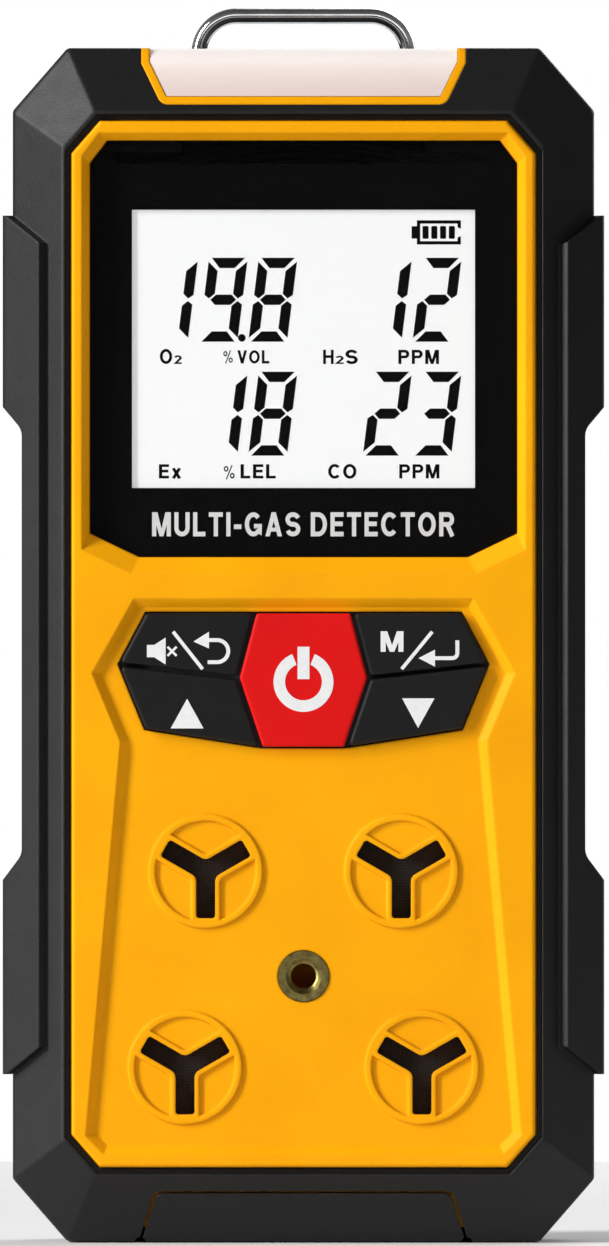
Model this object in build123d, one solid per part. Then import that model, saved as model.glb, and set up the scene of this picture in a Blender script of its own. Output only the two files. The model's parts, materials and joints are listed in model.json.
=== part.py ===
from build123d import *
from math import atan2, copysign, cos, hypot, pi, radians, sin, tan
import os

# Portable four-gas detector, upright. Millimetres. X runs across the front, +Y goes from the front to the
# back, +Z is up. The origin is the centre of the case's flat bottom.

# ---- Case: a rectangle with cut corners, bevelled towards a front and a back face ----
CASE_HALF_W = 31.9
CASE_H = 131.0
CORNER_CUT = 6.0
CUT_RATIO = 1.15  # a corner cut's height over its width
CUT_STEP = 1 - (hypot(1, CUT_RATIO) - 1) / CUT_RATIO  # a corner cut's growth when its outline grows by one
FRONT_Y = -15.0  # the yellow panel's face
BACK_Y = 15.0
BEVEL_FRONT_Y = -14.6  # where the front bevel starts, just under the panel's face
SIDE_FRONT_Y = -9.6
SIDE_BACK_Y = 11.0
PART_Y = 4.0  # the plane where the two halves meet
FRONT_FACE = (26.3, 7.3, 124.0, 3.4)  # half width, low, high, corner cut
BACK_FACE = (27.4, 6.0, 125.0, 4.0)
BUMPER_T = 1.6
EDGE_R = 0.8
CAVITY_SIDE = (28.3, 3.6, 127.4, 4.0)
FRONT_CAVITY_END, FRONT_CAVITY_Y = (23.8, 9.9, 121.3, 2.6), -7.8
BACK_CAVITY_END, BACK_CAVITY_Y, BACK_WALL_Y = (25.0, 8.4, 122.6, 3.0), 8.6, 13.0
SEAL_GROOVE = (1.45, 0.55)  # inside the bumper, from the groove's inner to its outer edge
SEAL_GROOVE_DEPTH, SEAL_PLAY = 1.0, 0.03
PAST = 1.0  # how far a cut runs past the face that it opens

# ---- Side grips, raised over the bevels and sides, with a waist for the fingers ----
GRIP_T = 1.1
GRIP_LOW, GRIP_HIGH = 18.4, 112.6
GRIP_END = 3.2  # height of the slanted ends
GRIP_FRONT_FOOT = 2.28  # from the front face's edge, along the bevel
GRIP_BACK_FOOT = 2.2
GRIP_LEAN = 0.36  # how far the inner wall leans over its height
WAIST_HALF_W = 30.9
WAIST_LOW, WAIST_HIGH = 42.5, 89.1
WAIST_RAMP_X, WAIST_RAMP_LOW, WAIST_RAMP_HIGH = 2.1, 2.8, 2.5
WAIST_CORNER_R = 2.0

# ---- Yellow panel ----
PANEL_FACE = (25.4, 8.3, 122.9, 3.1)
PANEL_EDGE_R = 0.4
PANEL_GAP = 0.15
GROOVE_W, GROOVE_DEPTH = 0.75, 1.0  # between the panel and the front bumper
WALL_Y = -12.4  # inside of the front wall
ROOT = 0.4  # how deep bosses, posts and ribs are rooted in the wall
BOSS_FLOOR = 1.2
FIELD_Y = -14.2  # floor of the sunk field around the keys and grilles
FIELD_WALL_W = 0.95
FIELD = [(18.6, 70.6), (23.2, 62.4), (20.1, 54.9), (23.9, 11.7), (21.9, 9.7)]

# ---- Window and display ----
WINDOW_Y = -13.75
WINDOW_T = 1.1
MASK_T = 0.15
LEDGE_Y = -12.5
LEDGE_T = 1.6
LEDGE_REACH = (0.4, 1.1)  # past the window, above and below
WINDOW_PLAY, WINDOW_CHAMFER = 0.05, 0.12
WINDOW_HALF_W = 23.45
WINDOW_LOW, WINDOW_HIGH = 75.1, 120.8
WINDOW_TOP_CUT = (1.9, 2.5)
WINDOW_LOW_CUT = (5.4, 2.6)
RECESS_SIDE, RECESS_TOP, RECESS_LOW = 0.85, 0.8, 1.8  # the recess's sloping walls, seen from the front
VIEW_HALF_W = 18.8
VIEW_LOW, VIEW_HIGH = 82.7, 113.2
LCD_HALF_W, LCD_LOW, LCD_HIGH = 21.2, 80.2, 115.6
LCD_Y, LCD_T, BACKLIGHT_T = -12.3, 2.2, 2.7
LCD_GAP = 0.3
LCD_FRAME_T, LCD_FRAME_SIDE_T, LCD_FRAME_PLAY = 1.6, 1.4, 0.1

# ---- Keys ----
KEY_TOP_Y = -15.2
KEY_FOOT_Y = -13.1
KEY_GAP = 0.4
KEY_EDGE_R, KEY_CORNER_R = 0.3, 0.35
POWER_OUTLINE = [(-5.3, 69.15), (5.3, 69.15), (7.2, 61.9), (4.6, 54.15), (-4.6, 54.15), (-7.2, 61.9)]
UPPER_OUTLINE = [(5.3, 69.15), (17.35, 69.15), (20.4, 63.4), (7.2, 61.9)]
LOWER_OUTLINE = [(7.2, 61.9), (20.4, 63.4), (17.45, 56.15), (4.6, 54.15)]
SWITCH_SIDE, SWITCH_Y = 5.2, -10.1
SWITCH_CORNER_R, SWITCH_BORE_L = 0.4, 1.5
PLUNGER_R, PLUNGER_TOP_Y, PLUNGER_SINK, PLUNGER_PLAY = 1.7, -11.0, 0.7, 0.08
MEMBRANE_T, MEMBRANE_RIM, PAD_INSET, NUB_R = 0.6, 1.6, 1.0, 1.5
POWER_SWITCH = (0.0, 61.6)
UPPER_SWITCH = (12.6, 65.8)
LOWER_SWITCH = (12.2, 59.2)

# ---- Gas inlets and sensors ----
INLETS = {
    "oxygen": (-10.72, 40.7),
    "hydrogen_sulfide": (10.72, 40.7),
    "combustible_gas": (-12.98, 19.2),
    "carbon_monoxide": (12.98, 19.2),
}
INLET_R, INLET_RIM_R, INLET_RISE = 6.27, 5.5, 0.35
ARM_L, ARM_W, ARM_RIM = 5.15, 2.1, 0.55
SLOT_CORNER_R, SLOT_TIP_R = 0.9, 0.35
HOLLOW_CORNER_R, HOLLOW_TIP_R, INLET_EDGE_R = 0.6, 0.5, 0.17
FILTER_R, FILTER_T = 7.5, 0.3
SEAL_R, SEAL_BORE_R, SEAL_T = 9.0, 6.6, 0.8
SENSOR_R, SENSOR_L, SENSOR_EDGE_R = 10.0, 16.5, 0.4
SENSOR_MOUTH_R, SENSOR_MOUTH_L = 4.5, 0.6
SENSOR_PINS = ((0.0, 6.7), (5.8, -3.35), (-5.8, -3.35))
PIN_R, PIN_L, PIN_ROOT, PIN_PLAY = 0.75, 2.8, 0.2, 0.1
SENSOR_Y = WALL_Y + FILTER_T + SEAL_T
HOLDER, HOLDER_Y, HOLDER_PLAY = (26.5, 11.6, 51.6, 6.0), (-3.0, 0.0), 0.15
POST_GAP, BOSS_GAP = 0.2, 0.3

# ---- Threaded insert for the pump cap ----
INSERT_AT, INSERT_PROUD = (0.0, 29.2), 0.15
INSERT_R, INSERT_L, INSERT_HOLE_R, INSERT_BOSS_R = 2.85, 6.0, 1.62, 4.2
INSERT_Y = FIELD_Y - INSERT_PROUD
INSERT_TEETH = 44
INSERT_TOOTH, INSERT_FIT, INSERT_PLAY, INSERT_MOUTH = 0.12, 0.02, 0.1, 0.35
RELIEF_R, RELIEF_L = 1.9, 3.5  # room for the cap screw's tip behind the insert

# ---- Alarm lamp, in a yellow bezel over the top edge, and the port cover under the bottom edge ----
LAMP = [(17.8, 129.3), (15.6, 124.7)]  # bezel's shoulder and lower corner
LAMP_BACK_Y = 2.4
BEZEL_W = 0.9
LAMP_T = 1.9
LAMP_CROWN_R, LAMP_CORNER_R = 3.4, 1.2
LAMP_FIT, LAMP_SINK = 0.06, 0.05
LAMP_BOARD_HALF_W, LAMP_BOARD_Y, LAMP_BOARD_Z = 15.5, (-8.5, 0.5), (121.6, 122.6)
LED_X, LED_SIDE, LED_T, LED_Y = (-10.5, -3.5, 3.5, 10.5), 5.0, 1.6, -4.0
LAMP_RIB_X, LAMP_RIB_T, LAMP_RIB_Z = 13.4, 1.2, 119.6
COVER = [(17.8, 0.0), (16.1, 5.4)]
COVER_BACK_Y, COVER_CORNER_R = 3.0, 1.0
OUTLINE_RUN = 5.0  # how far the lamp's and the cover's outlines run on past the case
COVER_GAP = 0.25
COVER_INNER_GAP, COVER_HINGE_R = 0.06, 0.76
NOTCH_R, NOTCH_Z = 0.65, -0.15
PORT_Y = -2.5
PORT_HOLE, PORT_HOLE_L = (10.0, 4.0, 1.6), 5.0  # width, depth and corner radius
PORT_PLUG, PORT_PLUG_Z = (8.6, 2.9, 1.3), (1.3, 2.8)
SOCKET, SOCKET_MOUTH, SOCKET_TONGUE = (8.94, 3.26, 1.5), (8.34, 2.66, 1.25), (6.7, 0.7)
SOCKET_Z, SOCKET_L, SOCKET_DEPTH, SOCKET_TONGUE_Z = 3.0, 7.3, 5.5, (4.0, 9.0)
PORT_BOARD_HALF_W, PORT_BOARD_T, PORT_BOARD_Z = 6.5, 1.0, (4.0, 10.4)

# ---- Bail ----
BAIL_R = 0.85
BAIL_HALF_W, BAIL_TOP = 11.55, 135.05  # of the wire's centre line
BAIL_Y, BAIL_Z = 15.72, 126.0
BAIL_CORNER_R, BAIL_ELBOW_R = 4.15, 1.2
LUG_HALF_W, LUG_R = 10.2, 2.2
LUG_HOLE_R, LUG_HOLE_L = 0.92, 3.4
LUG_NECK_L, LUG_GAP = 3.6, 0.15
BAIL_END_PLAY = 0.4

# ---- Fasteners and boards ----
CASE_SCREWS = [(23.4, 10.2), (23.4, 120.8)]
BOSS_R, PILOT_R, CLEAR_R, SINK_R, SINK_Y = 3.0, 1.27, 1.6, 2.7, 12.2
MAIN_Y, BOARD_T = -6.6, 1.6
MAIN_BOARD = (26.8, 52.0, 116.5, 2.0)
MAIN_POSTS = [(24.9, 56.0), (24.9, 111.0)]
SENSOR_BOARD_Y = 6.4
SENSOR_BOARD = (27.2, 8.5, 55.5, 6.0)
SENSOR_POSTS = [(25.3, 33.0), (25.3, 50.0)]
POST_R, POST_PILOT_R, POST_PILOT_L = 1.8, 0.82, 4.5
PILOT_END_Y = -8.0
BOARD_HOLE_R = 1.1
CHIPS = [  # width, height, thickness and centre
    (10, 10, 1.4, (-12, 76)), (5, 6, 1.2, (2, 70)), (5, 5, 1.0, (12, 78)),
    (3, 3, 1.0, (-2, 84)), (6, 4, 1.5, (8, 90)), (4, 4, 1.0, (-10, 92)),
]
HEADER_HALF_W, HEADER_Z = 10.2, (52.6, 55.1)
BOARD_SCREW, BOARD_SCREW_EDGE_R = (1.7, 1.2, 5.5), 0.5
CASE_SCREW = (2.45, 1.8, 16.0)  # head radius, head thickness and shank length
CLIP_SCREW = (2.4, 1.3, 3.6)
SCREW_EDGE, CROSS_DEPTH = 0.45, 0.65  # times the head's thickness
CROSS_L, CROSS_W = 1.1, 0.28  # times the head's radius
THREAD_PLAY = 0.02

# ---- Belt clip ----
CLIP_Z = 88.0
CLIP_PAD, CLIP_PAD_T = (20.0, 26.0, 2.0), 1.2  # width, height and corner radius
CLIP_PIN_Y, CLIP_PIN_R = 21.2, 1.2
CLIP_HALF_W, CLIP_T = 8.5, 1.0
CLIP_SCREW_Z, CLIP_PILOT_Y = (79.6, 96.4), 13.3
CLIP_BASE_H, CLIP_BASE_R = 23.0, 1.2
EAR_HALF_H, EAR_R = 6.0, 2.4
LEVER_GAP, LEVER_PIN_PLAY, LEVER_END, LEVER_CORNER_R = 0.15, 0.06, 1.0, 3.5
CHEEK_T, CHEEK_Y, CHEEK_HALF_H, CHEEK_R = 0.9, 25.2, 6.0, 2.3
LEVER_LINE = [
    (22.3, 104.5), (24.3, 98.5), (25.2, 91.0), (25.3, 83.0), (24.6, 74.5), (22.8, 67.5), (19.6, 62.0),
    (16.6, 59.0), (16.1, 56.6), (17.6, 54.2),
]
LEVER_STEPS = 30
PIN_HEAD_R, PIN_HEAD_T = 1.8, 0.5
SPRING_WIRE_R, SPRING_R, SPRING_PITCH, SPRING_TURNS, SPRING_LEG = 0.4, 2.0, 1.2, 7.5, 7.8
SPRING_TO_BASE, SPRING_TO_LEVER = radians(12), radians(5)  # slant of the legs

# ---- Back face and its label ----
PLATEAU_GAP, PLATEAU_EDGE_R = 0.2, 0.3
LABEL_W, LABEL_H, LABEL_R, LABEL_Z = 36.0, 30.0, 1.5, 34.0
LABEL_SINK, LABEL_T, LABEL_PLAY = 0.4, 0.3, 0.1
SOUND_HOLE_R, SOUND_RING_R = 0.6, 2.2

# ---- Battery ----
BATTERY_X, BATTERY_Y, BATTERY_Z, BATTERY_EDGE_R = (-17.0, 17.0), (2.0, 12.0), (57.0, 103.0), 1.2
BATTERY_PAD_X, BATTERY_PAD_Z = (-15.0, 15.0), (61.0, 99.0)
CONNECTOR_X, CONNECTOR_FAR_Y, CONNECTOR_Z = (18.6, 23.4), 0.6, (92.0, 98.0)
LEADS = [(13.0, 19.9, 106.6), (15.0, 22.1, 105.0)]  # start, end and height of the bend
LEAD_Y = (7.5, 6.5, -2.2)  # at the battery, over its edge and at the connector
LEAD_R, LEAD_BEND_R = 0.6, 1.2

# ---- Alarm parts ----
MOTOR_Y, MOTOR_Z, MOTOR_R = -1.6, 113.2, 3.0
MOTOR_X, MOTOR_EDGE_R, MOTOR_BORE_R, MOTOR_BORE_L = (-20.0, -11.0), 0.3, 0.56, 3.0
SHAFT_R, SHAFT_SINK, SHAFT_L = 0.5, 2.5, 4.8
WEIGHT_R, WEIGHT_CUT, WEIGHT_X = 2.6, 0.6, (0.8, 4.4)  # X from the motor's end
MOTOR_PAD_X, MOTOR_PAD_HALF_H = (-19.5, -11.5), 2.0
BUZZER_AT, BUZZER_R, BUZZER_L, BUZZER_EDGE_R = (13.0, 109.8), 6.0, 8.5, 0.6
BUZZER_MOUTH_R, BUZZER_MOUTH_L = 1.3, 1.2


# ---------------------------------------------------------------- helpers
def prism(sketch, near, far):
    """Straight prism of a front-view sketch between two depths."""
    return extrude(Plane.XZ.offset(-far) * sketch, amount=far - near, dir=(0, -1, 0))


def disc(at, radius, near, far):
    return prism(Pos(*at) * Circle(radius), near, far)


def rod(y, z, radius, low, high):
    """Cylinder along X."""
    return across(Pos(y, z) * Circle(radius), low, high)


def across(sketch, low, high):
    """Straight prism of a side-view sketch, drawn in Y and Z, between two X limits."""
    return extrude(Plane.YZ.offset(low) * sketch, amount=high - low, dir=(1, 0, 0))


def upright(sketch, low, high):
    """Straight prism of a plan sketch between two heights."""
    return extrude(Pos(0, 0, low) * sketch, amount=high - low, dir=(0, 0, 1))


def block(x, y, z):
    """Box between the given pairs of limits."""
    size = [high - low for low, high in (x, y, z)]
    middle = [(low + high) / 2 for low, high in (x, y, z)]
    return Pos(*middle) * Box(*size)


def polygon(points):
    return Polygon(*points, align=None)


def both_sides(points):
    """Closed outline from its right-hand points, top to bottom or bottom to top."""
    return points + [(-x, z) for x, z in reversed(points)]


def mirrored(points):
    return [(-x, z) for x, z in points]


def left_and_right(points):
    return [(side * x, z) for x, z in points for side in (-1, 1)]


def twin(shape):
    return shape + mirror(shape, about=Plane.YZ)


def joined(shapes):
    shapes = list(shapes)
    return shapes[0].fuse(*shapes[1:]) if len(shapes) > 1 else shapes[0]


def octagon(half_w, low, high, cut):
    """Outline of a rectangle with four cut corners."""
    tall = cut * CUT_RATIO
    right = [(half_w - cut, low), (half_w, low + tall), (half_w, high - tall), (half_w - cut, high)]
    return both_sides(right)


def faceted(levels):
    """Solid with flat facets between outlines of equal length at rising depths."""
    return skinned([[Vector(x, y, z) for x, z in outline] for y, outline in levels])


def skinned(rings):
    """Solid with flat facets between flat rings of equally many points."""
    faces = [Face(Wire.make_polygon(rings[0])), Face(Wire.make_polygon(rings[-1]))]
    for near, far in zip(rings, rings[1:]):
        for i in range(len(near)):
            j = (i + 1) % len(near)
            faces.append(Face(Wire.make_polygon([near[i], near[j], far[j], far[i]])))
    return Solid(Shell(faces))


# ---------------------------------------------------------------- case body
def bevel_mitres(face, rise):
    """How far a corner slides per unit of inset: on the face across and along, and on the side in depth."""
    half_w, low = face[0], face[1]
    slant_x, slant_z = atan2(rise, CASE_HALF_W - half_w), atan2(rise, low)
    return tan(slant_x / 2), tan(slant_z / 2), tan((pi / 2 - slant_x) / 2)


def hull(inset):
    """The case's bevelled outside, moved inwards."""

    def face_outline(face, mitre_x, mitre_z):
        half_w, low, high, cut = face
        return octagon(half_w - mitre_x * inset, low + mitre_z * inset, high - mitre_z * inset,
                       cut - CUT_STEP * mitre_x * inset)

    side = octagon(CASE_HALF_W - inset, inset, CASE_H - inset, CORNER_CUT - CUT_STEP * inset)
    front_x, front_z, front_y = bevel_mitres(FRONT_FACE, SIDE_FRONT_Y - BEVEL_FRONT_Y)
    back_x, back_z, back_y = bevel_mitres(BACK_FACE, BACK_Y - SIDE_BACK_Y)
    return faceted([
        (BEVEL_FRONT_Y + inset, face_outline(FRONT_FACE, front_x, front_z)),
        (SIDE_FRONT_Y + front_y * inset, side),
        (SIDE_BACK_Y - back_y * inset, side),
        (BACK_Y - inset, face_outline(BACK_FACE, back_x, back_z)),
    ])


def grip_region(inner, edge, foot):
    """Block square to one bevel, over the stretch that the grip covers, with a leaning wall at its foot."""
    inner, edge = Vector(*inner, 0), Vector(*edge, 0)
    slope = (edge - inner).length
    along = (edge - inner).normalized()
    outward = Vector(abs(along.Y), copysign(along.X, inner.Y), 0)
    beyond = slope + 2 * GRIP_T
    rings = []
    for height, lean in ((-2 * GRIP_T, 0), (0, 0), (2 * GRIP_T, 2 * GRIP_LEAN)):
        end = GRIP_END * (slope - foot - lean) / (slope - foot)
        profile = [
            (foot + lean, GRIP_LOW + end), (slope, GRIP_LOW), (beyond, GRIP_LOW),
            (beyond, GRIP_HIGH), (slope, GRIP_HIGH), (foot + lean, GRIP_HIGH - end),
        ]
        rings.append([inner + along * d + Vector(0, 0, z) + outward * height for d, z in profile])
    return skinned(rings)


def grips():
    """Raised plates on both sides."""
    front = grip_region((FRONT_FACE[0], BEVEL_FRONT_Y), (CASE_HALF_W, SIDE_FRONT_Y), GRIP_FRONT_FOOT)
    back = grip_region((BACK_FACE[0], BACK_Y), (CASE_HALF_W, SIDE_BACK_Y), GRIP_BACK_FOOT)
    side = block((CASE_HALF_W - 2 * GRIP_T, CASE_HALF_W + 2 * GRIP_T), (SIDE_FRONT_Y, SIDE_BACK_Y),
                 (GRIP_LOW, GRIP_HIGH))
    return twin(fillet(hull(-GRIP_T).edges(), EDGE_R) & (front + side + back))


def waist():
    """What is cut from the sides to leave the finger waist."""
    out = CASE_HALF_W + 3 * GRIP_T
    ramp = WAIST_HALF_W + WAIST_RAMP_X
    low, high = WAIST_LOW - WAIST_RAMP_LOW, WAIST_HIGH + WAIST_RAMP_HIGH
    outline = polygon([
        (WAIST_HALF_W, WAIST_LOW), (WAIST_HALF_W, WAIST_HIGH),
        (ramp, high), (out, high), (out, low), (ramp, low),
    ])
    inner_corners = outline.vertices().sort_by(Axis.X)[:2]
    return twin(prism(fillet(inner_corners, WAIST_CORNER_R), 2 * FRONT_Y, 2 * BACK_Y))


def outside():
    """The finished outside of both bumpers, as one solid."""
    body = fillet(hull(0).edges(), EDGE_R)
    return body + grips() - waist()


OUTSIDE = outside()
CORE = hull(BUMPER_T)
ALL_X, ALL_Z = (-2 * CASE_HALF_W, 2 * CASE_HALF_W), (-CASE_HALF_W, CASE_H + CASE_HALF_W)
FRONT_HALF = block(ALL_X, (2 * FRONT_Y, PART_Y), ALL_Z)
BACK_HALF = block(ALL_X, (PART_Y, 2 * BACK_Y), ALL_Z)


def lamp_outline(inset):
    """The alarm lamp's outline in front view, open towards the top."""
    (shoulder_x, shoulder_z), (low_x, low_z) = LAMP
    right = [(low_x, low_z), (shoulder_x, shoulder_z), (shoulder_x, CASE_H + OUTLINE_RUN)]
    outline = polygon(both_sides(right))
    outline = fillet(outline.vertices().sort_by(Axis.Y)[:2], LAMP_CORNER_R)
    return offset(outline, amount=-inset, kind=Kind.INTERSECTION) if inset else outline


def cover_outline(grow):
    """The port cover's outline in front view, run on below the case."""
    (low_x, low_z), (top_x, top_z) = COVER
    slope = (low_x - top_x) / (top_z - low_z)
    right = [(low_x + slope * OUTLINE_RUN + grow, low_z - OUTLINE_RUN), (top_x + grow, top_z + grow)]
    outline = polygon(both_sides(right))
    return fillet(outline.vertices().sort_by(Axis.Y)[-2:], COVER_CORNER_R)


def panel_outline(grow):
    half_w, low, high, cut = PANEL_FACE
    return polygon(octagon(half_w + grow, low - grow, high + grow, cut + grow * CUT_STEP))


def window_outline(side, top, low):
    """The window's outline, grown on each side."""
    half_w = WINDOW_HALF_W + side
    high, base = WINDOW_HIGH + top, WINDOW_LOW - low
    return [
        (half_w - WINDOW_LOW_CUT[0], base), (half_w, base + WINDOW_LOW_CUT[1]),
        (half_w, high - WINDOW_TOP_CUT[1]), (half_w - WINDOW_TOP_CUT[0], high),
    ]


def window_recess():
    """Sloping walls down to the window, then its pocket down to the ledge."""
    top = both_sides(window_outline(RECESS_SIDE, RECESS_TOP, RECESS_LOW))
    floor = both_sides(window_outline(0, 0, 0))
    rise = WINDOW_Y - FRONT_Y
    above = both_sides(window_outline(2 * RECESS_SIDE, 2 * RECESS_TOP, 2 * RECESS_LOW))
    return faceted([(FRONT_Y - rise, above), (FRONT_Y, top), (WINDOW_Y, floor), (LEDGE_Y, floor)])


def field_recess():
    """Shallow sunk field around the keys and the gas inlets, with sloping walls."""
    outline = polygon(both_sides(FIELD))
    floor = offset(outline, amount=-FIELD_WALL_W, kind=Kind.INTERSECTION)
    depth = FIELD_Y - FRONT_Y
    taper = atan2(FIELD_WALL_W, depth) * 180 / pi
    return extrude(Plane.XZ.offset(-FIELD_Y) * floor, amount=2 * depth, dir=(0, -1, 0), taper=-taper)


def three_arms(length, width, junction_r):
    """Three equal arms at 120 degrees from the origin, one down, with rounded inner corners."""
    arm = Pos(0, -length / 2) * Rectangle(width, length)
    arms = arm + Rot(0, 0, 120) * arm + Rot(0, 0, -120) * arm
    corners = arms.vertices().sort_by(lambda v: hypot(v.X, v.Y))
    return fillet(corners[:3], junction_r)


def inlet_slot():
    """Opening of a gas inlet, centred on the origin."""
    slot = three_arms(ARM_L, ARM_W, SLOT_CORNER_R)
    tips = slot.vertices().sort_by(lambda v: hypot(v.X, v.Y))[-6:]
    return fillet(tips, SLOT_TIP_R)


def inlet_relief():
    """Raised ring and rim around the slot, with three hollows between, centred on the origin."""
    hollows = Circle(INLET_RIM_R) - three_arms(2 * ARM_L, ARM_W + 2 * ARM_RIM, HOLLOW_CORNER_R)
    relief = Circle(INLET_R)
    for hollow in hollows.faces():
        outer = hollow.vertices().sort_by(lambda v: hypot(v.X, v.Y))[-2:]
        relief -= fillet(outer, HOLLOW_TIP_R)
    raised = prism(relief, FIELD_Y - INLET_RISE, FIELD_Y + ROOT)
    return fillet(raised.edges().group_by(Axis.Y)[0], INLET_EDGE_R)


def front_cavity():
    side = octagon(*CAVITY_SIDE)
    return faceted([(WALL_Y, octagon(*FRONT_CAVITY_END)), (FRONT_CAVITY_Y, side), (PART_Y + PAST, side)])


def back_cavity():
    side = octagon(*CAVITY_SIDE)
    return faceted([(PART_Y - PAST, side), (BACK_CAVITY_Y, side), (BACK_WALL_Y, octagon(*BACK_CAVITY_END))])


# ---------------------------------------------------------------- shells
def front_cover():
    panel = prism(panel_outline(0), FRONT_Y, SIDE_FRONT_Y)
    panel = fillet(panel.faces().sort_by(Axis.Y)[0].edges(), PANEL_EDGE_R)
    bezel_ring = prism(lamp_outline(0), FRONT_Y, LAMP_BACK_Y) & OUTSIDE
    shell = ((CORE & FRONT_HALF) + panel + bezel_ring) - front_cavity()

    ledge = prism(polygon(both_sides(window_outline(RECESS_SIDE, *LEDGE_REACH))), LEDGE_Y, LEDGE_Y + LEDGE_T)
    shell += ledge
    root = WALL_Y - ROOT
    inside = [disc(at, BOSS_R, root, PART_Y) for at in left_and_right(CASE_SCREWS)]
    inside += [disc(at, POST_R, root, MAIN_Y) for at in left_and_right(MAIN_POSTS)]
    inside += [disc(at, POST_R, root, SENSOR_BOARD_Y) for at in left_and_right(SENSOR_POSTS)]
    inside += [disc(INSERT_AT, INSERT_BOSS_R, root, INSERT_Y + INSERT_L + RELIEF_L + BOSS_FLOOR)]
    rib = block((LAMP_RIB_X, LAMP_RIB_X + LAMP_RIB_T), (root, 0), (LAMP_RIB_Z, LAMP_BOARD_Z[0]))
    inside += [rib, mirror(rib, about=Plane.YZ)]
    shell += joined(inside) & CORE

    shell -= window_recess()
    half_w = LCD_HALF_W + LCD_GAP
    hole_z = (LCD_LOW - LCD_GAP, LCD_HIGH + LCD_GAP)
    shell -= block((-half_w, half_w), (LEDGE_Y - PAST, LEDGE_Y + LEDGE_T + PAST), hole_z)
    shell -= field_recess()
    for at in INLETS.values():
        shell += Pos(at[0], 0, at[1]) * inlet_relief()
    for at in INLETS.values():
        shell -= prism(Pos(*at) * inlet_slot(), FRONT_Y, WALL_Y + PAST)
    shell -= prism(key_cluster(), FRONT_Y - PAST, WALL_Y + PAST)
    shell -= disc(INSERT_AT, INSERT_R, FRONT_Y, INSERT_Y + INSERT_L)
    shell -= disc(INSERT_AT, RELIEF_R, FRONT_Y, INSERT_Y + INSERT_L + RELIEF_L)
    shell -= prism(lamp_outline(BEZEL_W), 2 * FRONT_Y, LAMP_BACK_Y - BEZEL_W)
    for at in left_and_right(CASE_SCREWS):
        shell -= disc(at, PILOT_R, PILOT_END_Y, PART_Y + PAST)
    for at in left_and_right(MAIN_POSTS):
        shell -= disc(at, POST_PILOT_R, MAIN_Y - POST_PILOT_L, MAIN_Y + PAST)
    for at in left_and_right(SENSOR_POSTS):
        shell -= disc(at, POST_PILOT_R, SENSOR_BOARD_Y - POST_PILOT_L, SENSOR_BOARD_Y + PAST)
    return shell - upright(Pos(0, PORT_Y) * RectangleRounded(*PORT_HOLE), 0, PORT_HOLE_L)


def front_bumper():
    shell = (OUTSIDE & FRONT_HALF) - CORE
    shell -= prism(panel_outline(PANEL_GAP), 2 * FRONT_Y, SIDE_FRONT_Y)
    shell -= prism(panel_outline(GROOVE_W), 2 * FRONT_Y, BEVEL_FRONT_Y + GROOVE_DEPTH)
    shell -= prism(lamp_outline(0), 2 * FRONT_Y, LAMP_BACK_Y)
    shell -= prism(cover_outline(COVER_GAP), 2 * FRONT_Y, COVER_BACK_Y + COVER_GAP)
    return shell - cover_notches()


def cover_notches():
    """Rounded grooves beside the port cover, along the bottom."""
    return twin(disc((COVER[0][0] + COVER_GAP / 2, NOTCH_Z), NOTCH_R, 2 * FRONT_Y, COVER_BACK_Y))


def port_cover():
    """Rubber flap over the charging port, hinged along its back edge, with a plug for the port's mouth."""
    flap = OUTSIDE - hull(BUMPER_T - COVER_INNER_GAP)
    flap &= prism(cover_outline(0), 2 * FRONT_Y, COVER_BACK_Y)
    flap -= cover_notches()
    back_edge = flap.edges().filter_by(Axis.X).group_by(Axis.Y)[-1]
    flap = fillet(back_edge, COVER_HINGE_R)
    return flap + upright(Pos(0, PORT_Y) * RectangleRounded(*PORT_PLUG), *PORT_PLUG_Z)


def lug(grow, neck_l):
    """Barrel for the bail on the upper back edge, with a neck into the case."""
    half_w = LUG_HALF_W + grow
    rise = atan2(CASE_H - BACK_FACE[2], BACK_Y - SIDE_BACK_Y)
    inward = Vector(0, -sin(rise), -cos(rise))
    neck_plane = Plane(origin=Vector(0, BAIL_Y, BAIL_Z), x_dir=(1, 0, 0), z_dir=inward)
    neck = extrude(neck_plane * Rectangle(2 * half_w, 2 * (LUG_R + grow)), amount=neck_l)
    return rod(BAIL_Y, BAIL_Z, LUG_R + grow, -half_w, half_w) + neck


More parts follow.
